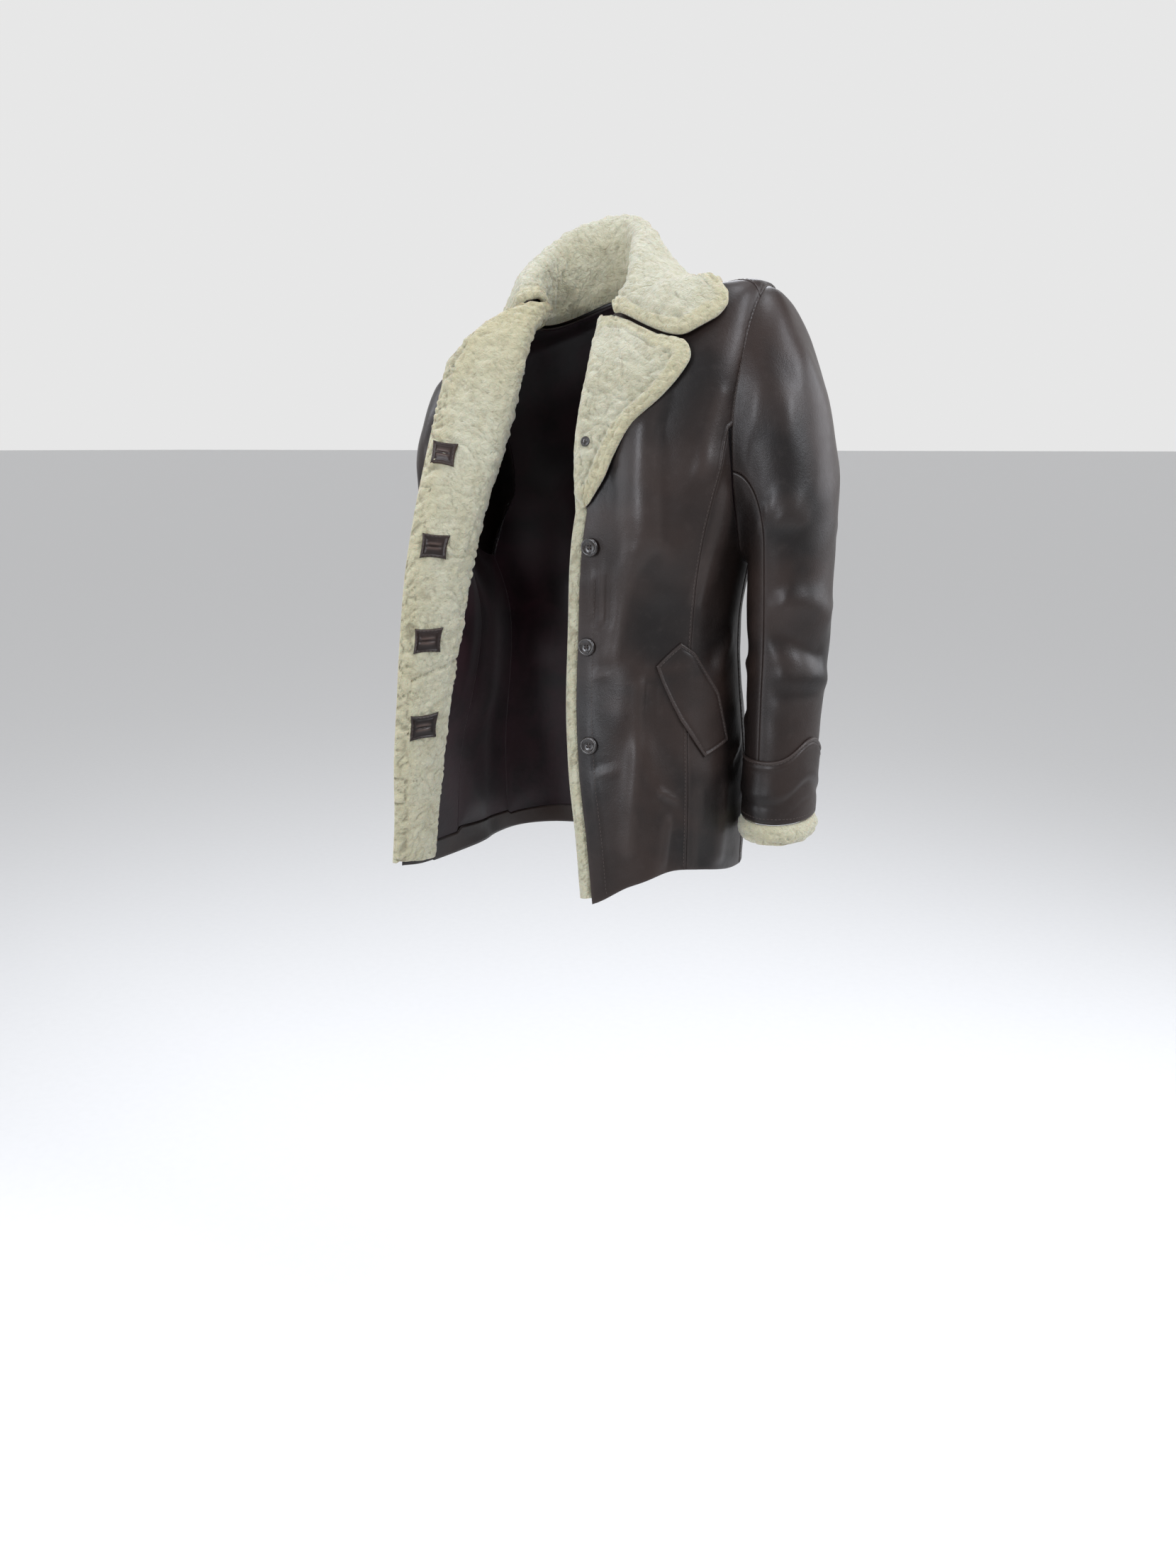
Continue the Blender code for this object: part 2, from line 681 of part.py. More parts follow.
def make_linings(word, side):
    depth = (-LAYER_GAP - LINING, -LAYER_GAP)
    fronts = front_grid(side)
    sides = side_grid(side)
    backs = back_grid(side)
    for name, grid, top in (
        ("front", fronts, SHOULDER_GAP),
        ("side", sides, SHOULDER_GAP),
        ("back", backs, back_top_gaps()),
    ):
        above = inset(grid[1:], side, SEAM_GAP, top)
        cloth("lining_" + name + "_" + word, above, side, *depth, BURGUNDY_LINING)
    turned = inset(joined_columns(fronts[:2], sides[:2], backs[:2]), side, SEAM_GAP)
    cloth("hem_turning_" + word, turned, side, -LAYER_GAP - LEATHER, -LAYER_GAP, BROWN_LEATHER)


def joined_columns(*grids):
    return np.concatenate([grids[0]] + [grid[:, 1:] for grid in grids[1:]], 1)


# ---- collar -------------------------------------------------------------------------------------

# Sections of the collar from the left front end round the neck to the right front end: where it
# is sewn to the neckline, the ridge where it folds over, and its outer edge. AROUND runs on past
# the centre back (90) to the right side.
Collar = namedtuple(
    "Collar", "share around level ridge_x ridge_y ridge_z edge_around edge_level edge_lift"
)
COLLAR = (
    Collar(0.000, -46.0, 0.742, 0.050, -0.064, -0.006, -17.5, 0.640, 0.0064),
    Collar(0.140, -20.0, 0.785, 0.056, -0.030, 0.032, -14.0, 0.692, 0.0060),
    Collar(0.270, 20.0, 0.785, 0.040, 0.016, 0.068, 10.0, 0.716, 0.0064),
    Collar(0.390, 55.0, 0.785, 0.020, 0.062, 0.097, 38.0, 0.684, 0.0100),
    Collar(0.500, 90.0, 0.785, -0.010, 0.084, 0.112, 90.0, 0.664, 0.0200),
    Collar(0.610, 125.0, 0.785, -0.056, 0.062, 0.100, 142.0, 0.680, 0.0120),
    Collar(0.730, 160.0, 0.785, -0.078, 0.010, 0.066, 168.0, 0.700, 0.0070),
    Collar(0.860, 200.0, 0.785, -0.076, -0.030, 0.040, 191.0, 0.686, 0.0070),
    Collar(1.000, 225.0, 0.764, -0.061, -0.062, 0.013, 210.0, 0.652, 0.0070),
)
COLLAR_CURVE = {column: table_curve(COLLAR, column, "share") for column in Collar._fields[1:]}
COLLAR_BASE_LIFT = 0.0050
COLLAR_AROUND_STEPS = 24
COLLAR_STAND_STEPS = 4
COLLAR_FALL_STEPS = 7
COLLAR_END_SAG = 0.140
COLLAR_RIDGE_WIDTH = 0.036


def lying(around, level, height):
    """A point over the form on either side."""
    left = lifted(around, level, LEFT, height)
    right = lifted(180 - around, level, RIGHT, height)
    return np.where(np.asarray(around)[..., None] < 90, left, right)


def hermite(start, leaving, end, arriving, t):
    value = (1 + 2 * t) * (1 - t) ** 2 * start + t * (1 - t) ** 2 * leaving
    return value + t * t * (3 - 2 * t) * end + t * t * (t - 1) * arriving


def unit(vectors):
    return vectors / np.linalg.norm(vectors, axis=-1, keepdims=True)


def collar_middle(share, place):
    """The collar's middle surface: PLACE runs 0 to 1 up the stand and 1 to 2 down the fall."""
    at = {column: curve(share) for column, curve in COLLAR_CURVE.items()}
    base = lying(at["around"], at["level"], COLLAR_BASE_LIFT + 0 * share)
    ridge = np.stack([at["ridge_x"], at["ridge_y"], at["ridge_z"]], -1)
    edge = lying(at["edge_around"], at["edge_level"], at["edge_lift"])
    flat = edge - ridge
    flat[..., 2] = 0
    over = unit(flat) * COLLAR_RIDGE_WIDTH
    height = np.linalg.norm(ridge - base, axis=-1, keepdims=True)
    rise = np.array([0.0, 0.0, 1.0]) * height
    drop = (edge - ridge) * np.array([0.75, 0.75, 1.25])
    over_stand = over * np.clip(height / 0.06, 0.25, 1)
    stand = hermite(base, rise, ridge, over_stand, np.clip(place, 0, 1)[..., None])
    fall = np.clip(place - 1, 0, 1)
    leaf = hermite(ridge, over_stand * 1.6, edge, drop, fall[..., None])
    sag = COLLAR_END_SAG * (1 - fall) * np.clip(1 - share / 0.14, 0, 1) ** 2
    resting = lying(
        at["around"] + (at["edge_around"] - at["around"]) * fall,
        at["level"] + (at["edge_level"] - at["level"]) * fall - sag,
        at["edge_lift"] + 0.010 * (1 - fall),
    )
    near = np.clip((fall - 0.1) / 0.5, 0, 1)[..., None]
    leaf = leaf + (resting - leaf) * near**2 * (3 - 2 * near)
    return np.where(place[..., None] <= 1, stand, leaf)


def collar_faces(heights):
    """Grids of the collar at several heights above its middle, on the fur's side."""
    place = np.concatenate([
        np.linspace(0, 1, COLLAR_STAND_STEPS, endpoint=False),
        np.linspace(1, 2, COLLAR_FALL_STEPS + 1),
    ])
    share = np.linspace(0, 1, COLLAR_AROUND_STEPS + 1)
    place, share = np.meshgrid(place, share, indexing="ij")
    middle = collar_middle(share, place)
    step = 1e-3
    up = collar_middle(share, np.clip(place + step, 0, 2)) - collar_middle(share, np.clip(place - step, 0, 2))
    round_neck = collar_middle(share + step, place) - collar_middle(share - step, place)
    normal = unit(np.cross(up, round_neck))
    return [middle + normal * height for height in heights]


def make_collar():
    top, low, under_top, under = collar_faces((FUR, SEAM_GAP / 2, -SEAM_GAP / 2, -0.0015))
    wall("collar", top, low, SHEARLING)
    wall("undercollar", under_top, under, BROWN_LEATHER)


# ---- sleeves ------------------------------------------------------------------------------------

# Rings down the left sleeve, from just below the armhole: RISE is how much higher the outer side
# of a slanted ring lies than the side by the body.
Cuffward = namedtuple("Cuffward", "down x y z half_width half_depth rise")
SLEEVE = (
    Cuffward(0.000, 0.2370, 0.016, -0.240, 0.0450, 0.0670, 0.080),
    Cuffward(0.065, 0.2370, 0.018, -0.300, 0.0450, 0.0620, 0.040),
    Cuffward(0.125, 0.2370, 0.018, -0.360, 0.0440, 0.0580, 0.012),
    Cuffward(0.195, 0.2370, 0.014, -0.430, 0.0420, 0.0560, 0.000),
    Cuffward(0.265, 0.2380, 0.008, -0.500, 0.0390, 0.0550, 0.000),
    Cuffward(0.335, 0.2380, 0.004, -0.570, 0.0380, 0.0540, 0.000),
)
# Folds of a sleeve, by TURN and the distance down from the armhole's ring.
SLEEVE_FOLDS = (
    Fold(0, -1.40, 0.075, 0.10, 0.110, 0.014, 0.0040),
    Fold(0, -1.60, 0.110, -0.20, 0.150, 0.012, -0.0045),
    Fold(0, -1.50, 0.160, 0.30, 0.175, 0.012, 0.0040),
    Fold(0, 0.90, 0.030, 1.80, 0.120, 0.016, 0.0045),
    Fold(0, 0.50, 0.210, 1.70, 0.240, 0.014, -0.0030),
    Fold(0, 2.40, 0.100, 3.60, 0.130, 0.013, -0.0040),
)
METRES_PER_TURN = 0.050
# The right arm hangs lower, like its shoulder, and nearer to the body.
RIGHT_ARM_IN = 0.029
RIGHT_ARM_DOWN = 0.045
SLEEVE_LENGTH = SLEEVE[-1].down
CAP_STEPS = 7
ARM_STEPS = 9
TOP_SLEEVE_COLUMNS = 13
UNDER_SLEEVE_COLUMNS = 7
FRONT_SLEEVE_SEAM = math.radians(-105)
BACK_SLEEVE_SEAM = math.radians(115)
CAP_OUT = 0.105
RING_OF = {column: table_curve(SLEEVE, column, "down") for column in Cuffward._fields[1:]}


def arm_ring(turn, down, side):
    """A point of the sleeve below its cap; TURN is 0 on the outer side, positive to the back."""
    folds = fold_height(SLEEVE_FOLDS, turn, down, METRES_PER_TURN)
    folds = folds + fold_height(SLEEVE_FOLDS, turn - 2 * math.pi, down, METRES_PER_TURN)
    x = RING_OF["x"](down) + (RING_OF["half_width"](down) + folds) * np.cos(turn)
    y = RING_OF["y"](down) + (RING_OF["half_depth"](down) + folds) * np.sin(turn)
    z = RING_OF["z"](down) + RING_OF["rise"](down) * np.cos(turn) / 2
    if side == RIGHT:
        x = RIGHT_ARM_IN - x
        z = z - RIGHT_ARM_DOWN
    return np.stack(np.broadcast_arrays(x, y, z), -1)


def sleeve(turn, place, side):
    """A sleeve: PLACE runs 0 to 1 down the cap, then 1 to 2 down to the cuff."""
    turn, place = np.broadcast_arrays(np.asarray(turn, float), np.asarray(place, float))
    hole = armhole(turn)
    start = body(hole[..., 0], hole[..., 1], side)
    first = arm_ring(turn, 0.0, side)
    gap = np.linalg.norm(first - start, axis=-1, keepdims=True)
    upper = (1 + np.cos(turn[..., None])) / 2
    out = np.array([side * 1.0, 0.0, -0.10])
    leaving = out * (CAP_OUT * upper + 0.9 * gap * (1 - upper))
    arriving = (arm_ring(turn, 0.01, side) - first) / 0.01 * gap * 0.9
    cap = hermite(start, leaving, first, arriving, np.clip(place, 0, 1)[..., None])
    arm = arm_ring(turn, np.clip(place - 1, 0, None) * SLEEVE_LENGTH, side)
    return np.where(place[..., None] <= 1, cap, arm)


def sleeve_outward(turn, place, side):
    around = sleeve(turn + 0.01, place, side) - sleeve(turn - 0.01, place, side)
    up = sleeve(turn, np.clip(place - 0.002, 0, None), side) - sleeve(turn, place + 0.002, side)
    return unit(side * np.cross(around, up))


def sleeve_start(turn, side):
    """How far down its cap a sleeve begins, so that its wall clears the armhole's edge."""
    hole = armhole(turn)
    normal = outward(hole[..., 0], hole[..., 1], side)
    step = sleeve(turn, 0.01, side) - sleeve(turn, 0.0, side)
    length = np.linalg.norm(step, axis=-1)
    out = (step * normal).sum(-1) / length
    return (SLEEVE_GAP + LEATHER * np.clip(out * 1.3, 0, 1.15)) / length * 0.01


def sleeve_wall(name, turns, places, low, high, side, finish):
    turn, place = np.meshgrid(turns, places, indexing="xy")
    place = place + np.clip(1 - place, 0, 1) * sleeve_start(turn, side)
    normal = sleeve_outward(turn, place, side)
    middle = sleeve(turn, place, side)
    return wall(name, middle + normal * high, middle + normal * low, finish)


def make_sleeves(word, side):
    places = np.concatenate([
        np.linspace(0, 1, CAP_STEPS, endpoint=False),
        np.linspace(1, 2, ARM_STEPS + 1),
    ])
    slit = 0.0045
    top = np.linspace(FRONT_SLEEVE_SEAM + slit, BACK_SLEEVE_SEAM - slit, TOP_SLEEVE_COLUMNS + 1)
    under = np.linspace(BACK_SLEEVE_SEAM, FRONT_SLEEVE_SEAM + 2 * math.pi, UNDER_SLEEVE_COLUMNS + 1)
    sleeve_wall("sleeve_top_" + word, top, places, 0, LEATHER, side, BROWN_LEATHER)
    sleeve_wall("sleeve_under_" + word, under, places, 0, LEATHER, side, BROWN_LEATHER)


# ---- cuffs --------------------------------------------------------------------------------------

CUFF_TOP = 1.775
CUFF_POINT = 0.075
CUFF_POINT_AT = math.radians(-20)
CUFF_COLUMNS = 20
CUFF_ROWS = 4
TRIM_ROWS = (
    (-0.004, 0.0004, 0.0034),
    (0.002, -0.0010, 0.0062),
    (0.012, -0.0026, 0.0070),
    (0.022, -0.0026, 0.0062),
    (0.030, -0.0008, 0.0030),
)


def make_cuff(word, side):
    """The turned-back leather cuff, which comes to a point, and the fur trim below it."""
    turns = np.linspace(0, 2 * math.pi, CUFF_COLUMNS, endpoint=False)
    near = np.cos((turns - CUFF_POINT_AT) / 2) ** 24
    top = CUFF_TOP - CUFF_POINT * near
    share = np.linspace(0, 1, CUFF_ROWS + 1)[:, None]
    place = top[None] * (1 - share) + 1.995 * share
    turn = np.broadcast_to(turns, place.shape)
    middle = sleeve(turn, place, side)
    normal = sleeve_outward(turn, place, side)
    high = LEATHER + 0.0028
    wall("cuff_" + word, middle + normal * high, middle + normal * (LEATHER + 0.0012), BROWN_LEATHER,
         tube=True)
    turn = np.broadcast_to(turns, (len(TRIM_ROWS), len(turns)))
    end = sleeve(turn, np.full(turn.shape, 2.0), side)
    out = sleeve_outward(turn, np.full(turn.shape, 1.99), side)
    down = np.array([0.0, 0.0, -1.0])
    rows = np.array(TRIM_ROWS)[:, :, None, None]
    drop = down * (rows[:, 0] + 0.0045)
    wall("cuff_trim_" + word, end + drop + out * rows[:, 2], end + drop + out * rows[:, 1], SHEARLING,
         tube=True)


# ---- pockets ------------------------------------------------------------------------------------

WELT_UPPER = (Place(0.297, -33.5), Place(0.285, -27.5), Place(0.236, -16.0), Place(0.180, -12.0))
WELT_LOWER = (Place(0.272, -45.0), Place(0.254, -42.5), Place(0.212, -35.5), Place(0.168, -26.0))
WELT_STEPS = 9
WELT_COLUMNS = 3
ON_LEATHER = LEATHER + 0.0016


def make_pocket(word, side):
    """The stitched welt of a slanting pocket."""
    share = np.linspace(0, 1, WELT_STEPS + 1)
    knots = np.linspace(0, 1, len(WELT_UPPER))
    edges = []
    for places in (WELT_LOWER, WELT_UPPER):
        around = np.interp(share, knots, [place.around for place in places])
        level = np.interp(share, knots, [place.level for place in places])
        edges.append(np.stack([around, level], -1))
    across = np.linspace(0, 1, WELT_COLUMNS + 1)[None, :, None]
    grid = edges[0][:, None] * (1 - across) + edges[1][:, None] * across
    cloth("pocket_welt_" + word, grid, side, ON_LEATHER, ON_LEATHER + 0.0016, BROWN_LEATHER)


# ---- buttons and buttonholes --------------------------------------------------------------------

BUTTON_RADIUS = 0.0105
BUTTON_PROFILE = (
    (0.0, 0.0000),
    (0.55, 0.0000),
    (0.86, 0.0008),
    (1.0, 0.0020),
    (0.93, 0.0036),
    (0.76, 0.0040),
    (0.62, 0.0028),
    (0.0, 0.0026),
)
BUTTON_SIDES = 10
BUTTONS = (
    Place(0.406, -72.0),
    Place(0.293, -78.3),
    Place(0.187, -76.0),
)
BUTTON_BACKING = Place(0.521, -69.0)
BACKING_RADIUS = 0.0055
PATCHES = (
    Place(0.513, -75.0),
    Place(0.406, -72.0),
    Place(0.296, -69.5),
    Place(0.198, -67.5),
)
PATCH_LENGTH = 0.032
PATCH_HEIGHT = 0.029


def turned(name, centre, axis, radius, finish):
    """A button: its profile turned about an axis."""
    side_way = unit(np.cross(axis, np.array([0.0, 0.0, 1.0])))
    up_way = np.cross(side_way, axis)
    points = [centre]
    for share, height in BUTTON_PROFILE[1:-1]:
        for step in range(BUTTON_SIDES):
            angle = 2 * math.pi * step / BUTTON_SIDES
            spoke = side_way * math.cos(angle) + up_way * math.sin(angle)
            points.append(centre + spoke * radius * share + axis * height)
    points.append(centre + axis * BUTTON_PROFILE[-1][1])
    faces = []
    rings = len(BUTTON_PROFILE) - 2
    for step in range(BUTTON_SIDES):
        after = (step + 1) % BUTTON_SIDES
        faces.append((0, 1 + after, 1 + step))
        for ring in range(rings - 1):
            a = 1 + ring * BUTTON_SIDES
            b = a + BUTTON_SIDES
            faces.append((a + step, a + after, b + after, b + step))
        outer = 1 + (rings - 1) * BUTTON_SIDES
        faces.append((outer + step, outer + after, len(points) - 1))
    return solid(name, points, faces, finish)


def make_buttons():
    """Three buttons on the left front; on the fur of the lapel, the backing of the top one."""
    for number, place in enumerate(BUTTONS, start=2):
        base = lifted(place.around, place.level, LEFT, LEATHER + 0.0006)
        axis = outward(place.around, place.level, LEFT)
        turned("button_" + str(number), base, axis, BUTTON_RADIUS, DARK_HORN)
    place = BUTTON_BACKING
    base = lifted(place.around, place.level, LEFT, LAPEL_FUR[1] + 0.0008)
    axis = outward(place.around, place.level, LEFT)
    turned("button_1_backing", base, axis, BACKING_RADIUS, DARK_HORN)


def make_patches():
    """Leather patches that back the four buttonholes on the fur of the right facing."""
    for number, place in enumerate(PATCHES, start=1):
        reach = PATCH_LENGTH / 2 * degrees_per_metre(place.around, place.level, RIGHT)
        around = np.linspace(place.around - reach, place.around + reach, 4)
        level = np.linspace(place.level - PATCH_HEIGHT / 2, place.level + PATCH_HEIGHT / 2, 3)
        grid = np.stack(np.meshgrid(around, level), -1)
        face = -FACING_GAP - FUR
        cloth("buttonhole_patch_" + str(number), grid, RIGHT, face - 0.0024, face - 0.0010,
              BROWN_LEATHER)


SIDES = (("left", LEFT), ("right", RIGHT))


def make_body():
    for word, side in SIDES:
        front = joined_columns(facing_grid(side), front_grid(side))
        under_collar = np.arange(front.shape[1]) <= FACING_COLUMNS
        gaps = np.where(under_collar, NECK_GAP, SHOULDER_GAP)
        cloth("front_" + word, inset(front, side, top=gaps), side, 0, LEATHER, BROWN_LEATHER)
        cloth("front_side_" + word, inset(side_grid(side), side), side, 0, LEATHER, BROWN_LEATHER)
        backs = inset(back_grid(side), side, top=back_top_gaps())
        cloth("back_" + word, backs, side, 0, LEATHER, BROWN_LEATHER)
        make_facing(word, side)
        make_linings(word, side)
        make_sleeves(word, side)
        make_cuff(word, side)
        make_pocket(word, side)


def clear_scene():
    for old in list(bpy.data.objects):
        bpy.data.objects.remove(old, do_unlink=True)


clear_scene()
make_body()
make_lapel()
make_collar()
make_buttons()
make_patches()
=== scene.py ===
"""A worn leather jacket with a shearling collar, lapels, facings and cuffs, hanging open.

Metres, +Z up, the front faces -Y and the wearer's left is +X. A place on the body is given by AROUND,
the degrees round it from the side (0) to the centre front (-90) or back (90), and by LEVEL, the
distance up from the hem along the cloth.
"""

import math
from collections import namedtuple

import bpy
import numpy as np
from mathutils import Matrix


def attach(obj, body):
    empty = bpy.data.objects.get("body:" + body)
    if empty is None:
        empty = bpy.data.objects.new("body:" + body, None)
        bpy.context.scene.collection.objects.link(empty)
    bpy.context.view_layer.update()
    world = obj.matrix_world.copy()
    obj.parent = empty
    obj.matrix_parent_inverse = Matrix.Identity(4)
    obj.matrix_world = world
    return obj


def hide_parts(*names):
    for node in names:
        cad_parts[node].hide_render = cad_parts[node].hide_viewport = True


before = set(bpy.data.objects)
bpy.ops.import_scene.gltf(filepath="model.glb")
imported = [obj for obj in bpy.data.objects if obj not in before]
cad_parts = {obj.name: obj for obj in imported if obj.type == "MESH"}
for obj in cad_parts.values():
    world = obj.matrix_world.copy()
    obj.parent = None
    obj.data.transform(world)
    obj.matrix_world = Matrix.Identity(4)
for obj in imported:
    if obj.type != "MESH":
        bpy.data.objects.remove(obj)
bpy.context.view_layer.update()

# ---- leather fronts -----------------------------------------------------------------------------
# Each front is one hide from the hem to the shoulder: smooth, dark brown, 1.8 mm with its interlining.
# Its edges are turned under and sewn, and the seam to the side panel and sleeve is topstitched.

LEFT = 1
RIGHT = -1
SIDES = (("left", LEFT), ("right", RIGHT))
LEATHER = 0.0018


def rows_of(kind, *rows):
    """A table: the values of each row under its kind's named columns."""
    return tuple(kind(*row) for row in rows)


Ring = namedtuple(
    "Ring", "level front side back half_width front_depth back_depth sway forward square tilt"
)
RINGS = rows_of(
    Ring,
    (0.000, -0.668, -0.652, -0.660, 0.167, 0.156, 0.118, 0.020, 0.000, 2.2, 0.00),
    (0.120, -0.548, -0.538, -0.540, 0.169, 0.144, 0.122, 0.020, 0.000, 2.3, 0.00),
    (0.320, -0.338, -0.335, -0.335, 0.158, 0.120, 0.100, 0.018, 0.000, 2.3, 0.00),
    (0.425, -0.236, -0.242, -0.228, 0.182, 0.124, 0.118, 0.008, 0.000, 2.6, 0.04),
    (0.540, -0.130, -0.139, -0.105, 0.194, 0.112, 0.118, 0.000, 0.000, 3.4, 0.11),
    (0.620, -0.070, -0.062, -0.036, 0.199, 0.092, 0.104, 0.000, 0.002, 3.6, 0.16),
    (0.665, -0.036, -0.015, 0.004, 0.197, 0.064, 0.080, 0.000, 0.006, 3.4, 0.19),
    (0.715, -0.021, -0.004, 0.014, 0.145, 0.050, 0.068, 0.000, 0.006, 2.6, 0.15),
    (0.785, -0.008, -0.001, 0.020, 0.080, 0.042, 0.058, 0.000, 0.004, 2.2, 0.14),
)
NECK_LEVEL = 0.785

# The right front hangs open: the plan of its fold and of its front edge.
OpenFront = namedtuple("OpenFront", "level fold_x fold_y edge_x edge_y rise")
OPEN_FRONT = rows_of(
    OpenFront,
    (0.000, -0.168, -0.150, -0.186, -0.192, 0.000),
    (0.085, -0.156, -0.152, -0.174, -0.196, 0.000),
    (0.160, -0.144, -0.152, -0.168, -0.199, 0.000),
    (0.230, -0.132, -0.150, -0.160, -0.198, 0.000),
    (0.300, -0.119, -0.146, -0.154, -0.194, 0.000),
    (0.380, -0.108, -0.140, -0.147, -0.186, 0.000),
    (0.440, -0.098, -0.131, -0.143, -0.172, 0.000),
    (0.490, -0.088, -0.121, -0.143, -0.154, 0.000),
    (0.545, -0.077, -0.108, -0.145, -0.134, 0.000),
    (0.630, -0.066, -0.086, -0.146, -0.112, 0.003),
    (0.700, -0.060, -0.062, -0.144, -0.094, 0.014),
    (0.785, -0.056, -0.040, -0.140, -0.078, 0.028),
)
OPEN_FROM = -14.0
FOLD_AROUND = -50.0
OPEN_EDGE_AROUND = -82.0
FOLD_ROUND = 0.0009


def hermite(start, leaving, end, arriving, t):
    """From START to END as t goes from 0 to 1, with the slopes LEAVING and ARRIVING."""
    value = (1 + 2 * t) * (1 - t) ** 2 * start + t * (1 - t) ** 2 * leaving
    return value + t * t * (3 - 2 * t) * end + t * t * (t - 1) * arriving


def smooth(t):
    """0 to 1 with no corner as t goes from 0 to 1."""
    t = np.clip(t, 0, 1)
    return t * t * (3 - 2 * t)


def table_curve(rows, column, by="level"):
    """A smooth curve through one column of a table, as a function of another."""
    knots = np.array([getattr(row, by) for row in rows], float)
    values = np.array([getattr(row, column) for row in rows], float)
    gaps = np.diff(knots)
    rises = np.diff(values) / gaps
    slopes = np.concatenate(([rises[0]], rises, [rises[-1]]))
    slopes = (slopes[:-1] + slopes[1:]) / 2
    slopes[1:-1] = (rises[:-1] * gaps[1:] + rises[1:] * gaps[:-1]) / (gaps[:-1] + gaps[1:])

    def curve(at):
        at = np.asarray(at, float)
        inside = np.clip(at, knots[0], knots[-1])
        index = np.clip(np.searchsorted(knots, inside, side="right") - 1, 0, len(gaps) - 1)
        gap = gaps[index]
        t = (inside - knots[index]) / gap
        after = index + 1
        value = hermite(values[index], gap * slopes[index], values[after], gap * slopes[after], t)
        beyond = at - inside
        return value + beyond * np.where(beyond > 0, slopes[-1], slopes[0])

    return curve


def curves(rows):
    """A smooth curve through each column of a table, by its first column."""
    by, *columns = rows[0]._fields
    return {column: table_curve(rows, column, by) for column in columns}


RING = curves(RINGS)
OPEN = curves(OPEN_FRONT)

# Soft folds between two places: first the largest, which are part of the form.
Fold = namedtuple("Fold", "around level to_around to_level width height")
FOLDS = {
    LEFT: rows_of(Fold,
        (-24, 0.52, -44, 0.33, 0.02, 0.0045), (-50, 0.48, -62, 0.18, 0.026, 0.005),
        (-38, 0.4, -46, 0.15, 0.022, -0.0035), (-50, 0.21, -51, 0, 0.018, 0.005),
        (-12, 0.42, -18, 0.25, 0.02, -0.004), (-24, 0.17, -22, 0, 0.024, 0.0045),
        (40, 0.48, 58, 0.25, 0.024, 0.0045), (30, 0.24, 38, 0, 0.026, 0.0055),
        (62, 0.22, 66, 0, 0.028, -0.0045)),
    RIGHT: rows_of(Fold,
        (38, 0.5, 60, 0.27, 0.024, 0.0045), (28, 0.26, 34, 0, 0.026, 0.0055),
        (58, 0.23, 64, 0, 0.028, -0.0045), (-20, 0.48, -34, 0.26, 0.022, 0.0045),
        (-14, 0.2, -12, 0, 0.024, 0.004)),
}
# The finer creases of the hide, each with a trough beside its ridge.
CREASES = {
    LEFT: rows_of(Fold,
        (-50.5, 0.57, -49, 0.38, 0.026, 0.0038), (-36, 0.56, -40, 0.4, 0.014, -0.003),
        (-17.5, 0.482, -28.7, 0.328, 0.012, 0.0034), (-43, 0.42, -59, 0.26, 0.012, -0.0024),
        (-21, 0.58, -31, 0.47, 0.008, 0.0018), (-30, 0.6, -40, 0.52, 0.01, -0.0016),
        (-69.4, 0.415, -72.3, 0.312, 0.0034, -0.0018), (-63.4, 0.42, -66.9, 0.305, 0.0048, -0.0024),
        (-67, 0.265, -74, 0.262, 0.0045, 0.0011), (-63, 0.161, -72, 0.157, 0.0045, 0.0011),
        (-46.4, 0.29, -53.3, 0.03, 0.008, -0.0032), (-47.5, 0.139, -36, 0.118, 0.0046, 0.0026),
        (-36.3, 0.109, -40.7, 0.02, 0.0075, -0.0036), (-30, 0.15, -31, 0.02, 0.009, 0.002),
        (-10, 0.152, 4, 0.178, 0.0055, 0.0024), (-14, 0.14, -20, 0.02, 0.011, 0.0022),
        (-4, 0.3, -14, 0.26, 0.008, 0.0018), (18, 0.4, 40, 0.35, 0.01, 0.0026),
        (20, 0.3, 44, 0.32, 0.01, 0.0024), (44, 0.56, 60, 0.44, 0.012, 0.0026),
        (66, 0.35, 84, 0.31, 0.01, 0.0022), (34, 0.5, 44, 0.3, 0.014, -0.0024),
        (52, 0.16, 56, 0.01, 0.011, 0.0024)),
    RIGHT: rows_of(Fold,
        (16, 0.39, 42, 0.34, 0.01, 0.0026), (22, 0.31, 48, 0.335, 0.01, 0.0024),
        (42, 0.55, 56, 0.43, 0.012, 0.0026), (66, 0.33, 82, 0.35, 0.01, 0.0022),
        (32, 0.49, 46, 0.29, 0.014, -0.0024), (50, 0.16, 52, 0.02, 0.011, 0.0024),
        (-18, 0.54, -32, 0.43, 0.01, 0.0026), (-22, 0.33, -38, 0.25, 0.01, 0.0022),
        (-34, 0.54, -40, 0.39, 0.014, -0.0026), (-40, 0.18, -42, 0.03, 0.01, 0.0022),
        (-56, 0.46, -58, 0.28, 0.014, 0.0024)),
}
METRES_PER_DEGREE = 0.0026


def fold_height(folds, u, v, per_u, trough=0.0):
    """How far the folds push a form out at (u, v); PER_U turns u into metres."""
    height = 0.0
    for fold in folds:
        run_u = (fold.to_around - fold.around) * per_u
        run_v = fold.to_level - fold.level
        length = math.hypot(run_u, run_v)
        from_u = (u - fold.around) * per_u
        from_v = v - fold.level
        along_it = (from_u * run_u + from_v * run_v) / length**2
        across = (from_u * run_v - from_v * run_u) / length
        past = np.maximum(0, np.abs(along_it - 0.5) - 0.35) * length
        ridge = np.exp(-(across**2 + past**2) / fold.width**2)
        beside = np.exp(-((across - 1.7 * fold.width) ** 2 + past**2) / fold.width**2)
        height = height + fold.height * (ridge - trough * beside)
    return height


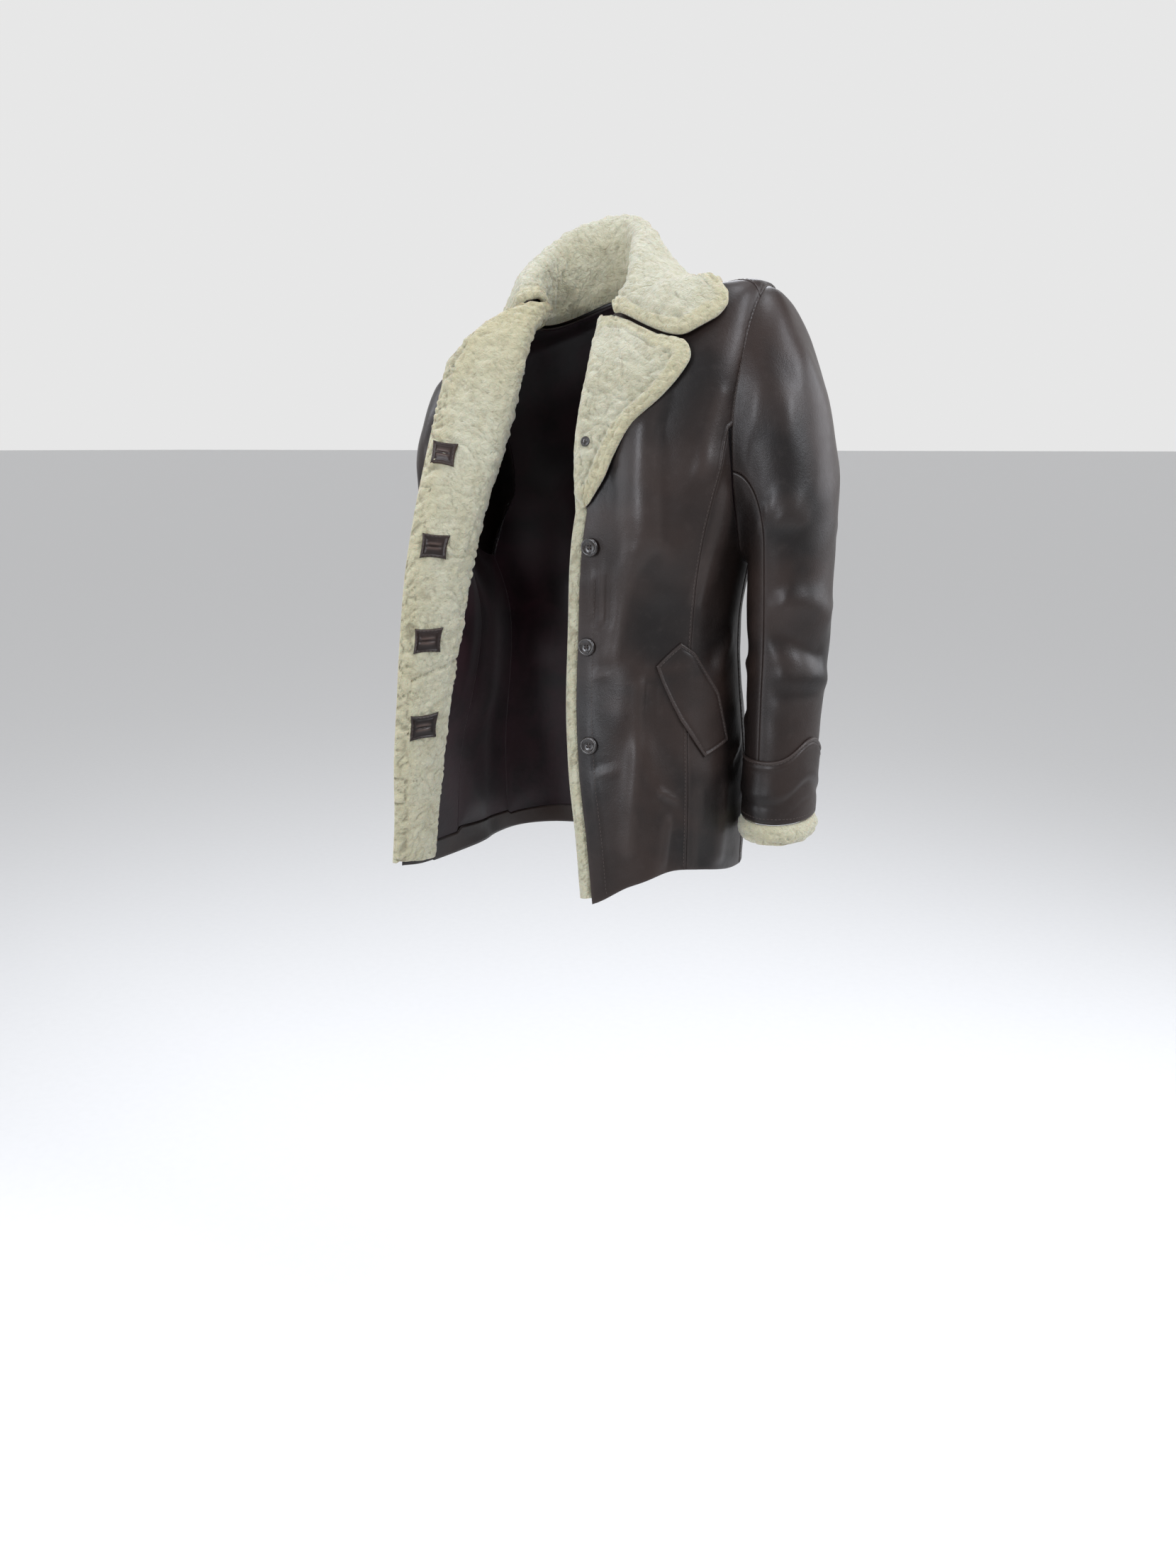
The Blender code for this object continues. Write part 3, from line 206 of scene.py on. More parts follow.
def ring_body(around, level, side):
    """The closed form: a rounded ring at each level, the shoulders tilted up to the left."""
    angle = np.radians(around)
    across = np.cos(angle)
    back = np.sin(angle)
    square = RING["square"](level)
    depth = np.where(back < 0, RING["front_depth"](level), RING["back_depth"](level))
    radius = (np.abs(across) / RING["half_width"](level)) ** square
    radius = (radius + (np.abs(back) / depth) ** square) ** (-1 / square)
    radius = radius + fold_height(FOLDS[side], around, level, METRES_PER_DEGREE)
    rest = RING["side"](level)
    height = rest + (RING["front"](level) - rest) * np.clip(-back, 0, 1) ** 2
    height = height + (RING["back"](level) - rest) * np.clip(back, 0, 1) ** 2
    height = height + RING["tilt"](level) * side * radius * across
    x = RING["sway"](level) + side * radius * across
    y = RING["forward"](level) + radius * back
    return np.stack(np.broadcast_arrays(x, y, height), -1)


def open_body(around, level):
    """The right side: the closed form as far as OPEN_FROM, then the open front."""
    around, level = np.broadcast_arrays(np.asarray(around, float), np.asarray(level, float))
    closed = ring_body(around, level, RIGHT)
    start = ring_body(OPEN_FROM, level, RIGHT)
    lead = start - ring_body(OPEN_FROM + 1, level, RIGHT)
    fold = np.stack([OPEN["fold_x"](level), OPEN["fold_y"](level)], -1)
    edge = np.stack([OPEN["edge_x"](level), OPEN["edge_y"](level)], -1)
    first = OPEN_FROM - FOLD_AROUND
    second = FOLD_AROUND - OPEN_EDGE_AROUND
    lead = lead[..., :2] * first
    flap = edge - fold
    turn = ((fold - start[..., :2]) / first * second + flap / second * first) / (first + second)
    turn[..., 1] -= FOLD_ROUND * np.clip((level - 0.38) / 0.2, 0, 1)
    t = np.clip((OPEN_FROM - around) / first, 0, 1)[..., None]
    plan = hermite(start[..., :2], lead, fold, turn * first, t)
    past = np.clip((FOLD_AROUND - around) / second, 0, None)[..., None]
    inner = np.clip(past, 0, 1)
    outer = hermite(fold, turn * second, edge, flap, inner) + (past - inner) * flap
    plan = np.where(around[..., None] < FOLD_AROUND, outer, plan)
    height = closed[..., 2:] + OPEN["rise"](level)[..., None] * smooth(t)
    swung = np.concatenate([plan, height], -1)
    return np.where(around[..., None] < OPEN_FROM, swung, closed)


def body(around, level, side):
    """A point of the body's form, which is the inner face of the leather."""
    around = np.asarray(around, float)
    level = np.asarray(level, float)
    return ring_body(around, level, LEFT) if side == LEFT else open_body(around, level)


def unit(vectors):
    return vectors / np.linalg.norm(vectors, axis=-1, keepdims=True)


def outward(around, level, side):
    """The form's unit normal, away from the wearer."""
    around_step = 0.2
    level_step = 0.0005
    round_it = body(around + around_step, level, side) - body(around - around_step, level, side)
    up = body(around, level + level_step, side) - body(around, level - level_step, side)
    return unit(side * np.cross(round_it, up))


def lifted(around, level, side, height):
    """The point that lies HEIGHT outside the form."""
    height = np.asarray(height, float)[..., None]
    return body(around, level, side) + outward(around, level, side) * height


def degrees_per_metre(around, level, side):
    """How far round the body one metre of cloth goes there."""
    step = body(around + 0.5, level, side) - body(around - 0.5, level, side)
    return 1 / np.linalg.norm(step, axis=-1)


HEM_TURN = 0.030
BREAK_LEVEL = 0.444
PRINCESS_TOP = 0.530
ARMHOLE_TOP = 0.660
ARMHOLE_BOTTOM = 0.385
ARMHOLE_FRONT = -19.5
ARMHOLE_BACK = 24.0
SHOULDER_SEAM_TIP = -8.0
SHOULDER_SEAM_NECK = -24.0
SIDE_SEAM = 4.0
# Seams are stepped ten times as finely as in the solids.
LOWER_STEPS = 150
YOKE_STEPS = 60
BREAK_STEPS = 110
FACING_WIDTH = 0.078
FACING_TOP_SHARE = 0.35

Place = namedtuple("Place", "level around")
FRONT_EDGE_LEFT = rows_of(Place,
    (0, -73), (0.084, -76.4), (0.17, -81.4), (0.234, -84.1), (0.319, -83), (0.409, -76.4),
    (BREAK_LEVEL, -72.8))
ROLL_LINE = rows_of(Place,
    (BREAK_LEVEL, -72.8), (0.515, -71.5), (0.589, -67), (0.662, -61), (0.744, -48.8),
    (NECK_LEVEL, SHOULDER_SEAM_NECK))
FRONT_EDGE_RIGHT = rows_of(Place, (0, -77), (0.58, -77), (0.634, -76))
GORGE_RIGHT = rows_of(Place,
    (0.634, -76), (0.712, -64), (0.758, -48), (NECK_LEVEL, SHOULDER_SEAM_NECK))
PRINCESS_SEAM = rows_of(Place,
    (0, -34.3), (0.178, -33), (0.309, -28.5), (0.424, -27), (PRINCESS_TOP, -19.5))
HEM_LEFT = rows_of(Place,
    (0, -95), (0.002, -73), (0.024, -57), (0.036, -41), (0.03, -28), (0.011, -7), (0.003, 20),
    (0, 90))
HEM_RIGHT = rows_of(Place,
    (0.024, -90), (0.022, -77), (0.012, -47), (0.01, -28), (0.006, -7), (0.002, 20), (0, 90))
HEM_LEVEL = {
    LEFT: table_curve(HEM_LEFT, "level", by="around"),
    RIGHT: table_curve(HEM_RIGHT, "level", by="around"),
}


def seam(places, steps, side=None):
    """Evenly spread places along a smooth seam; where a SIDE is named, up from that side's hem."""
    around = table_curve(places, "around")
    start = places[0].level if side is None else HEM_LEVEL[side](around(0.0))
    levels = np.linspace(start, places[-1].level, steps + 1)
    return np.stack([around(levels), levels], -1)


ARMHOLE_MIDDLE = (ARMHOLE_TOP + ARMHOLE_BOTTOM) / 2
ARMHOLE_HALF = (ARMHOLE_TOP - ARMHOLE_BOTTOM) / 2
# The armhole's angle where the princess seam meets it, and at the shoulder seam.
PRINCESS_TURN = -math.acos((PRINCESS_TOP - ARMHOLE_MIDDLE) / ARMHOLE_HALF)
SHOULDER_TURN = math.asin(SHOULDER_SEAM_TIP / -ARMHOLE_FRONT)


def armhole(turn):
    """The armhole at an angle from its top, towards the back where the angle is positive."""
    turn = np.asarray(turn, float)
    level = ARMHOLE_MIDDLE + ARMHOLE_HALF * np.cos(turn)
    bulge = np.where(np.sin(turn) < 0, -ARMHOLE_FRONT, ARMHOLE_BACK)
    lean = SIDE_SEAM * (1 - np.cos(turn)) / 2
    return np.stack([bulge * np.sin(turn) + lean, level], -1)


def joined(*runs):
    """Runs of places end to end, each one's first place being the last one's end."""
    return np.concatenate([runs[0]] + [run[1:] for run in runs[1:]])


def along(run, shares):
    """Places at shares of a finely stepped run."""
    index = np.linspace(0, 1, len(run))
    return np.stack([np.interp(shares, index, run[:, column]) for column in (0, 1)], -1)


def coons(bottom, top, first, last, u, v, reach=1):
    """A grid of places inside four runs, at shares U across it and V up it.

    The higher REACH is, the sooner the top run's own bends fade out below it.
    """
    first = along(first, v)[:, None]
    last = along(last, v)[:, None]
    bottom = along(bottom, u)
    top = along(top, u)
    u = u[None, :, None]
    v = v[:, None, None]
    below = bottom - ((1 - u[0]) * bottom[0] + u[0] * bottom[-1])
    above = top - ((1 - u[0]) * top[0] + u[0] * top[-1])
    return (1 - u) * first + u * last + (1 - v) * below[None] + v**reach * above[None]


def hem_line(start, end, side):
    around = np.linspace(start, end, 60)
    return np.stack([around, HEM_LEVEL[side](around)], -1)


def shoulder_seam(start, end):
    """A stretch of the shoulder seam, from 0 at the neck to 1 at the armhole."""
    tip = armhole(SHOULDER_TURN)
    neck = np.array([SHOULDER_SEAM_NECK, NECK_LEVEL])
    return neck + (tip - neck) * np.linspace(start, end, 30)[:, None]


def princess_run(side):
    return seam(PRINCESS_SEAM, LOWER_STEPS, side)


def yoke_run(front):
    """The armhole from where a lower panel ends up to the shoulder seam."""
    start = PRINCESS_TURN if front else math.pi
    return armhole(np.linspace(start, SHOULDER_TURN, YOKE_STEPS + 1))


def edge_run(side):
    """The front edge from the hem, then the roll line or gorge, to the shoulder seam."""
    steps = LOWER_STEPS + YOKE_STEPS
    if side == LEFT:
        lower = seam(FRONT_EDGE_LEFT, BREAK_STEPS, side)
        return joined(lower, seam(ROLL_LINE, steps - BREAK_STEPS))
    lower = seam(FRONT_EDGE_RIGHT, LOWER_STEPS, side)
    return joined(lower, seam(GORGE_RIGHT, YOKE_STEPS))


def facing_run(side):
    """The inner edge of the facing, a hand's breadth from the front edge."""
    top = shoulder_seam(FACING_TOP_SHARE, 1)[0]
    if side == RIGHT:
        levels = (0.000, 0.300, 0.500, 0.640)
        places = [Place(low, FOLD_AROUND + on) for low, on in zip(levels, (3, 3, 8, 18))]
        return seam(places + [Place(top[1], top[0])], LOWER_STEPS + YOKE_STEPS, side)
    edge = edge_run(side)
    reach = FACING_WIDTH * degrees_per_metre(edge[:, 0] + 10, edge[:, 1], side)
    run = edge + np.stack([reach, 0 * reach], -1)
    share = np.clip((np.arange(len(run)) - BREAK_STEPS) / (len(run) - 1 - BREAK_STEPS), 0, 1)
    share = share[:, None] ** 2
    run = run * (1 - share) + top * share
    run[:, 0] = np.minimum(run[:, 0], top[0])
    low = run[:, 1] < BREAK_LEVEL
    hem = HEM_LEVEL[side](run[0, 0])
    run[low, 1] += (hem - run[0, 1]) * (1 - run[low, 1] / BREAK_LEVEL)
    return run


# The steps of a mesh near an edge that rounds over, where the topstitching runs too.
EDGE_STEPS = (0.0, 0.0005, 0.0011, 0.0018, 0.0030, 0.0042, 0.0050, 0.0058, 0.0070, 0.0095)
HIDE_STEP = 0.0046
FRONT_LENGTH = 0.79


def spread(length, step, start=True, end=True):
    """Shares of a length: close together at an edge that rounds over, STEP apart elsewhere."""
    near = np.array(EDGE_STEPS) if start else np.zeros(1)
    far = np.array(EDGE_STEPS) if end else np.zeros(1)
    count = max(2, round((length - near[-1] - far[-1]) / step))
    middle = np.linspace(near[-1], length - far[-1], count + 1)
    return np.concatenate([near[:-1], middle, (length - far[:-1])[::-1]]) / length


def facing_places(side, u, v):
    first = edge_run(side)
    last = facing_run(side)
    bottom = hem_line(first[0, 0], last[0, 0], side)
    return coons(bottom, shoulder_seam(0, FACING_TOP_SHARE), first, last, u, v)


def front_places(side, u, v):
    first = facing_run(side)
    last = joined(princess_run(side), yoke_run(True))
    bottom = hem_line(first[0, 0], last[0, 0], side)
    return coons(bottom, shoulder_seam(FACING_TOP_SHARE, 1), first, last, u, v)


def grid_of(places):
    """A grid's AROUND and LEVEL."""
    return places[..., 0], places[..., 1]


def edge_distances(points):
    """How far each point of a grid lies from the grid's four edges, along the cloth."""
    across = np.cumsum(np.linalg.norm(np.diff(points, axis=1), axis=-1), 1)
    across = np.pad(across, ((0, 0), (1, 0)))
    up = np.cumsum(np.linalg.norm(np.diff(points, axis=0), axis=-1), 0)
    up = np.pad(up, ((1, 0), (0, 0)))
    return {"first": across, "last": across[:, -1:] - across, "bottom": up, "top": up[-1:] - up}


def nearest_edge(points):
    return np.minimum.reduce(list(edge_distances(points).values()))


def hump(distance, at, width):
    """A ridge or groove beside an edge: 1 at its middle, and almost 0 at twice its width."""
    return np.exp(-(((distance - at) / width) ** 2))


def faded(low, share):
    """LOW where the share is 0, and 1 where it is 1."""
    return low + (1 - low) * share


def rounded(distance, radius):
    """0 at an edge, 1 past RADIUS from it, on a quarter circle."""
    return np.sqrt(1 - (1 - np.clip(distance / radius, 0, 1)) ** 2)


def ripple(points, size, seed, waves=16):
    """Smooth noise between about -1 and 1 whose bumps are SIZE across."""
    chance = np.random.default_rng(seed)
    ways = unit(chance.normal(size=(waves, 3)))
    lengths = size * chance.uniform(1.5, 2.8, waves)
    shifts = chance.uniform(0, 2 * math.pi, waves)
    phase = points @ (ways * (2 * math.pi / lengths)[:, None]).T + shifts
    return np.sin(phase).sum(-1) / math.sqrt(waves)


# A row of topstitching beside an edge of a panel, over a stretch of that edge. The hide is raised
# where its seam allowance lies under it, between the edge and the stitches.
Sewn = namedtuple("Sewn", "edge offset start end raised")
STITCH_GROOVE = 0.0005
STITCH_GROOVE_WIDTH = 0.0011
PUCKER = 0.00022
PUCKER_LENGTH = 0.0105
EDGE_ROLL = 0.0017
DEEPEST = 0.0011


def hide_height(points, sewn, creases, seed):
    """The height of the hide's outer face over its inner one, and how worn it is."""
    distances = edge_distances(points)
    nearest = nearest_edge(points)
    roll = rounded(nearest, EDGE_ROLL)
    height = 0.0004 + (LEATHER - 0.0004) * roll
    for row in sewn:
        distance = distances[row.edge]
        upright = row.edge in ("first", "last")
        run = distances["bottom" if upright else "first"]
        share = run / (run[-1:] if upright else run[:, -1:])
        whole = 0 if row.start > 0 or row.end < 1 else 1
        here = smooth((share - row.start) / 0.02 + whole) * smooth((row.end - share) / 0.02 + whole)
        allowance = 1 - smooth((distance - row.offset + 0.0012) / 0.0024)
        groove = hump(distance, row.offset, STITCH_GROOVE_WIDTH)
        pucker = np.sin(2 * math.pi * run / PUCKER_LENGTH + 2 * ripple(points, 0.03, seed + 7))
        pucker = pucker * np.exp(-np.abs(distance - row.offset) / 0.006)
        relief = row.raised * allowance - STITCH_GROOVE * groove + PUCKER * pucker
        height = height + here * roll * relief
    soft = smooth(nearest / 0.02)
    drape = 0.0007 * ripple(points, 0.060, seed) + 0.0003 * ripple(points, 0.022, seed + 1)
    drape = drape + creases
    drape = np.where(drape < 0, -DEEPEST * np.tanh(-drape / DEEPEST), drape)
    height = height + soft * drape
    wear = 0.55 * (1 - smooth(nearest / 0.006)) + 0.5 * np.clip(creases / 0.0016, 0, 1)
    wear = wear + 0.25 * smooth(ripple(points, 0.05, seed + 3) - 0.4)
    return np.maximum(height, 0.0002), np.clip(wear, 0, 1)


def shell_faces(rows, columns, tube=False):
    """Quads of a closed shell: an outer grid, an inner one after it, and the rim between them."""
    cells = np.arange(rows * columns).reshape(rows, columns)
    if tube:
        cells = np.concatenate([cells, cells[:, :1]], 1)
    outer = np.stack([cells[:-1, :-1], cells[:-1, 1:], cells[1:, 1:], cells[1:, :-1]], -1)
    outer = outer.reshape(-1, 4)
    under = rows * columns
    rims = [(cells[0, 1:], cells[0, :-1]), (cells[-1, :-1], cells[-1, 1:])]
    if not tube:
        rims += [(cells[:-1, 0], cells[1:, 0]), (cells[1:, -1], cells[:-1, -1])]
    sides = [np.stack([a, b, b + under, a + under], -1) for a, b in rims]
    return np.concatenate([outer, outer[:, ::-1] + under] + sides)


def placed(name, data):
    """A new object in the scene."""
    made = bpy.data.objects.new(name, data)
    bpy.context.scene.collection.objects.link(made)
    return made


def make_mesh(name, points, faces, finish):
    """A smooth-shaded object that rides on the jacket."""
    mesh = bpy.data.meshes.new(name)
    mesh.from_pydata(points.tolist(), [], faces)
    mesh.shade_smooth()
    mesh.materials.append(finish)
    made = placed(name, mesh)
    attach(made, "root")
    return made


def make_shell(name, node, outer, inner, finish, values=None, tube=False):
    """A closed shell that stands for a node; VALUES are attributes of the outer grid's points."""
    points = np.concatenate([outer.reshape(-1, 3), inner.reshape(-1, 3)])
    faces = shell_faces(*outer.shape[:2], tube)
    a, b, c = (points[faces[:, column]] for column in (0, 1, 2))
    if (a * np.cross(b, c)).sum() < 0:
        faces = faces[:, ::-1]
    made = make_mesh(name, points, faces.tolist(), finish)
    for key, value in (values or {}).items():
        attribute = made.data.attributes.new(key, "FLOAT", "POINT")
        value = np.broadcast_to(value, outer.shape[:2]).ravel()
        attribute.data.foreach_set("value", np.concatenate([value, value]).astype(np.float32))
    if node:
        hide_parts(node)
    return made


def declare_cloth(made, points):
    """Works out a grid's distances from its edges and its cells' diagonals, and does nothing more with
    them.
    """
    distances = edge_distances(points)
    a = points[1:, 1:] - points[:-1, :-1]
    b = points[1:, :-1] - points[:-1, 1:]


STITCH = 0.0034
STITCH_GAP = 0.0012
THREAD_RADIUS = 0.00034
THREAD_SIDES = 5
# Along one stitch: how far it stands above the hide, and its share of the thread's thickness.
STITCH_PROFILE = ((0.0, -0.0004, 0.55), (0.2, 0.0001, 1.0), (0.8, 0.0001, 1.0), (1.0, -0.0004, 0.55))


def from_edge(grid, edge):
    """The grid turned so that its columns run in from one of its edges."""
    return {
        "first": grid,
        "last": grid[:, ::-1],
        "bottom": grid.transpose(1, 0, 2),
        "top": grid[::-1].transpose(1, 0, 2),
    }[edge]


def at_run(value, run, points):
    """Points at a distance, or at several, along a line whose RUN is given."""
    return np.stack([np.interp(value, run, points[:, axis]) for axis in range(3)], -1)


def run_along(line):
    return np.concatenate([[0], np.cumsum(np.linalg.norm(np.diff(line, axis=0), axis=-1))])


def line_beside(points, normal, row):
    """The line of a row of topstitching, the way in from the edge, and the side it stands on."""
    grid = from_edge(points, row.edge)
    line = np.array([at_run(row.offset, run_along(across), across) for across in grid])
    inner = np.array([at_run(row.offset + 0.001, run_along(across), across) for across in grid])
    length = run_along(line)
    length /= length[-1]
    kept = (length >= row.start) & (length <= row.end)
    line, inward = line[kept], (inner - line)[kept]
    middle = len(line) // 2
    up = from_edge(normal, row.edge)[middle, 0]
    outside = np.sign(np.cross(line[middle + 1] - line[middle], inward[middle]) @ up)
    return line, inward, outside


def stitches_on(line, inward, outside):
    """Points and faces of a row of stitches; OUTSIDE turns the normal away from the wearer."""
    length = run_along(line)
    count = int((length[-1] - 0.012) / (STITCH + STITCH_GAP))
    starts = 0.006 + np.arange(count) * (STITCH + STITCH_GAP)
    rings = []
    for share, lift, thick in STITCH_PROFILE:
        at = starts + share * STITCH
        centre = at_run(at, length, line)
        way = unit(at_run(at + 0.001, length, line) - centre + 1e-9)
        up = unit(np.cross(way, at_run(at, length, inward))) * outside
        across = np.cross(up, way)
        angles = np.arange(THREAD_SIDES) * 2 * math.pi / THREAD_SIDES
        spokes = up[:, None] * np.cos(angles)[:, None] + across[:, None] * np.sin(angles)[:, None]
        rings.append(centre[:, None] + up[:, None] * lift + spokes * THREAD_RADIUS * thick)
    points = np.stack(rings, 1).reshape(-1, 3)
    near = np.arange(THREAD_SIDES)
    after = (near + 1) % THREAD_SIDES
    quads = np.concatenate([
        np.stack([near, after, after + THREAD_SIDES, near + THREAD_SIDES], -1) + ring * THREAD_SIDES
        for ring in range(len(STITCH_PROFILE) - 1)
    ])
    last = (len(STITCH_PROFILE) - 1) * THREAD_SIDES
    bases = np.arange(count) * (last + THREAD_SIDES)
    caps = []
    for base in bases.tolist():
        caps.append([base + step for step in range(THREAD_SIDES)][::-1])
        caps.append([base + last + step for step in range(THREAD_SIDES)])
    faces = (quads[None] + bases[:, None, None]).reshape(-1, 4)
    return points, faces.tolist() + caps


def make_thread(name, outer, normal, sewn):
    """The rows of stitches on one piece as one object, in a list that is empty without rows."""
    points = np.zeros((0, 3))
    faces = []
    for row in sewn:
        some, more = stitches_on(*line_beside(outer, normal, row))
        faces += [[index + len(points) for index in face] for face in more]
        points = np.concatenate([points, some])
    return [make_mesh(name, points, faces, BROWN_THREAD)] if sewn else []


class Wire:
    """An output socket of a material: sums on it add Math nodes, and node() adds any other."""

    def __init__(self, socket):
        self.socket = socket

    def node(self, kind, settings, sockets, output=0):
        """Adds a node, its settings first and then its sockets, and gives one of its outputs."""
        tree = self.socket.id_data
        made = tree.nodes.new(kind)
        for name, value in settings.items():
            setattr(made, name, value)
        for name, value in sockets.items():
            if isinstance(value, Wire):
                tree.links.new(value.socket, made.inputs[name])
            else:
                made.inputs[name].default_value = value
        return Wire(made.outputs[output])

    def maths(self, operation, first, second):
        return self.node("ShaderNodeMath", {"operation": operation}, {0: first, 1: second})

    def __add__(self, other):
        return self.maths("ADD", self, other)

    def __sub__(self, other):
        return self.maths("SUBTRACT", self, other)

    def __rsub__(self, other):
        return self.maths("SUBTRACT", other, self)

    def __mul__(self, other):
        return self.maths("MULTIPLY", self, other)

    __radd__ = __add__
    __rmul__ = __mul__

    def blend(self, low, high):
        """A colour from LOW to HIGH as this value goes from 0 to 1."""
        settings = {"data_type": "RGBA", "clamp_factor": True}
        return self.node("ShaderNodeMix", settings, {0: self, 6: low, 7: high}, 2)

    def between(self, low, high):
        """0 to 1 as this value goes from LOW to HIGH, smoothly."""
        settings = {"interpolation_type": "SMOOTHSTEP"}
        sockets = {"Value": self, "From Min": low, "From Max": high}
        return self.node("ShaderNodeMapRange", settings, sockets)

    def noise(self, size, detail=2.0, stretch=0.0):
        """Noise over this position, its blots SIZE metres across."""
        sockets = {"Vector": self, "Scale": 1 / size, "Detail": detail, "Distortion": stretch}
        return self.node("ShaderNodeTexNoise", {}, sockets)

    def cells(self, size):
        """The distance from the nearest of the scattered points of a cell pattern."""
        return self.node("ShaderNodeTexVoronoi", {}, {"Vector": self, "Scale": 1 / size})

    def painted(self, attribute):
        """The value that a piece's points carry under this name."""
        return self.node("ShaderNodeAttribute", {"attribute_name": attribute}, {}, "Fac")

    def bumped(self, strength, distance):
        sockets = {"Strength": strength, "Distance": distance, "Height": self}
        return self.node("ShaderNodeBump", {}, sockets)


def colour(red, green, blue):
    return (red, green, blue, 1.0)


def new_finish(name, constants):
    """A material with its constant sockets set, its shader, and the position to paint by."""
    made = bpy.data.materials.new(name)
    made.use_nodes = True
    tree = made.node_tree
    shader = tree.nodes["Principled BSDF"]
    for key, value in constants.items():
        shader.inputs[key].default_value = value
    return made, shader, Wire(tree.nodes.new("ShaderNodeTexCoord").outputs["Object"])


def feed(shader, **wires):
    """Links wires to the shader; in the names, _ stands for a space."""
    for name, wire in wires.items():
        socket = shader.inputs[name.replace("_", " ")]
        wire.socket.id_data.links.new(wire.socket, socket)


def hide_finish(name, dark, warm, worn, roughness):
    """Garment leather: two browns in broad clouds, lighter where it is rubbed, with fine grain. On the
    buttonhole patches the lighter worn colour on the lips is also a painted highlight.
    """
    made, shader, place = new_finish(
        name, {"Specular IOR Level": 0.34, "IOR": 1.45, "Coat Roughness": 0.26, "Coat Weight": 0.05}
    )
    wear = place.painted("wear")
    clouds = place.noise(0.16, 3.0, 0.4)
    fine = place.noise(0.010, 4.0)
    base = clouds.between(0.38, 0.66).blend(dark, warm)
    base = (wear * 0.55 + fine.between(0.55, 0.8) * 0.12).blend(base, worn)
    rough = roughness + (fine - 0.5) * 0.16 + (clouds - 0.5) * 0.14 - wear * 0.06
    pebbles = place.cells(0.0013)
    wrinkles = place.noise(0.007, 3.0, 1.0)
    height = pebbles * 0.16 + wrinkles * 0.42 + place.noise(0.0022, 2.0) * 0.20
    feed(shader, Base_Color=base, Roughness=rough, Normal=height.bumped(0.42, 0.0009))
    return made


BROWN_HIDE = hide_finish(
    "brown_hide", colour(0.0076, 0.0060, 0.0057), colour(0.0235, 0.0145, 0.0118),
    colour(0.050, 0.038, 0.034), 0.41,
)


def thread_finish():
    """Waxed thread, a shade lighter than the hide."""
    made, shader, place = new_finish("brown_thread", {"Specular IOR Level": 0.4})
    twist = place.noise(0.0009, 1.0)
    feed(shader, Base_Color=twist.blend(colour(0.030, 0.022, 0.019), colour(0.070, 0.055, 0.048)),
         Roughness=0.5 + twist * 0.2)
    return made


BROWN_THREAD = thread_finish()

STITCH_OFFSET = 0.0050
PLACKET = 0.0215
SEAM_ROW = Sewn("last", STITCH_OFFSET, 0.0, 1.0, 0.0005)
FRONT_SEWN = {
    LEFT: (SEAM_ROW, Sewn("first", PLACKET, 0.0, 0.535, 0.0010)),
    RIGHT: (SEAM_ROW, Sewn("first", PLACKET, 0.0, 0.72, 0.0010)),
}
SEAM_INSET = -0.00012


def towards(start, end, side, distance):
    """Places that lie a distance along the cloth from START on the way to END."""
    span = body(end[:, 0], end[:, 1], side) - body(start[:, 0], start[:, 1], side)
    share = distance / np.maximum(np.linalg.norm(span, axis=-1), 1e-6)
    return start + (end - start) * np.minimum(share, 0.6)[:, None]


def inset(grid, side, gap=SEAM_INSET):
    """The grid with its four edges drawn in, so that a seam's two pieces stay apart."""
    inner = grid.copy()
    inner[:, 0] = towards(grid[:, 0], grid[:, 1], side, gap)
    inner[:, -1] = towards(grid[:, -1], grid[:, -2], side, gap)
    inner[0] = towards(inner[0], inner[1], side, gap)
    inner[-1] = towards(inner[-1], inner[-2], side, gap)
    return inner


def make_hide(name, node, outer, inner, wear, finish=BROWN_HIDE, tube=False):
    """A leather piece; WEAR says where it is rubbed, and on the buttonhole patches also where a
    highlight is painted on the lips.
    """
    return make_shell(name, node, outer, inner, finish, {"wear": wear}, tube)


def make_sewn(name, node, inner, normal, height, wear, sewn, held, thread="", rests_on=(), **kind):
    """A leather piece of a HEIGHT over its inner grid, with its topstitching."""
    outer = inner + normal * height[..., None]
    made = make_hide(name, node, outer, inner, wear, **kind)
    threads = make_thread(thread or name + "_thread", outer, normal, sewn)
    declare_cloth(made, inner)


def make_panel(name, node, grid, side, sewn, seed):
    """A leather panel over a grid of places, with its topstitching."""
    around, level = grid_of(inset(grid, side))
    inner = body(around, level, side)
    normal = outward(around, level, side)
    creases = fold_height(CREASES[side], around, level, METRES_PER_DEGREE, 0.8)
    height, wear = hide_height(inner, sewn, creases, seed)
    make_sewn(name, node, inner, normal, height, wear, sewn, "hung")


FACING_REACH = 0.086
FRONT_WIDTH = 0.120
HEM_FINE = spread(FRONT_LENGTH, HIDE_STEP)
for word, side in SIDES:
    reach = spread(FACING_REACH, HIDE_STEP, end=False)
    rest = spread(FRONT_WIDTH, HIDE_STEP, start=False)
    grid = np.concatenate([
        facing_places(side, reach, HEM_FINE)[:, :-1],
        front_places(side, rest, HEM_FINE),
    ], 1)
    make_panel("front_hide_" + word, "front_" + word, grid, side, FRONT_SEWN[side], 11 + side)

# ---- front side panels --------------------------------------------------------------------------
# The panel between the topstitched princess seam and the side seam, of the same hide, its edges
# turned under. It ends at the foot of the armhole.

SIDE_LENGTH = 0.45
SIDE_WIDTH = 0.090


def side_run(side):
    places = (Place(0.0, SIDE_SEAM), Place(ARMHOLE_BOTTOM, SIDE_SEAM))
    return seam(places, LOWER_STEPS, side)


def side_places(side, u, v):
    first = princess_run(side)
    last = side_run(side)
    bottom = hem_line(first[0, 0], last[0, 0], side)
    top = armhole(np.linspace(PRINCESS_TURN, -math.pi, 60))
    return coons(bottom, top, first, last, u, v)


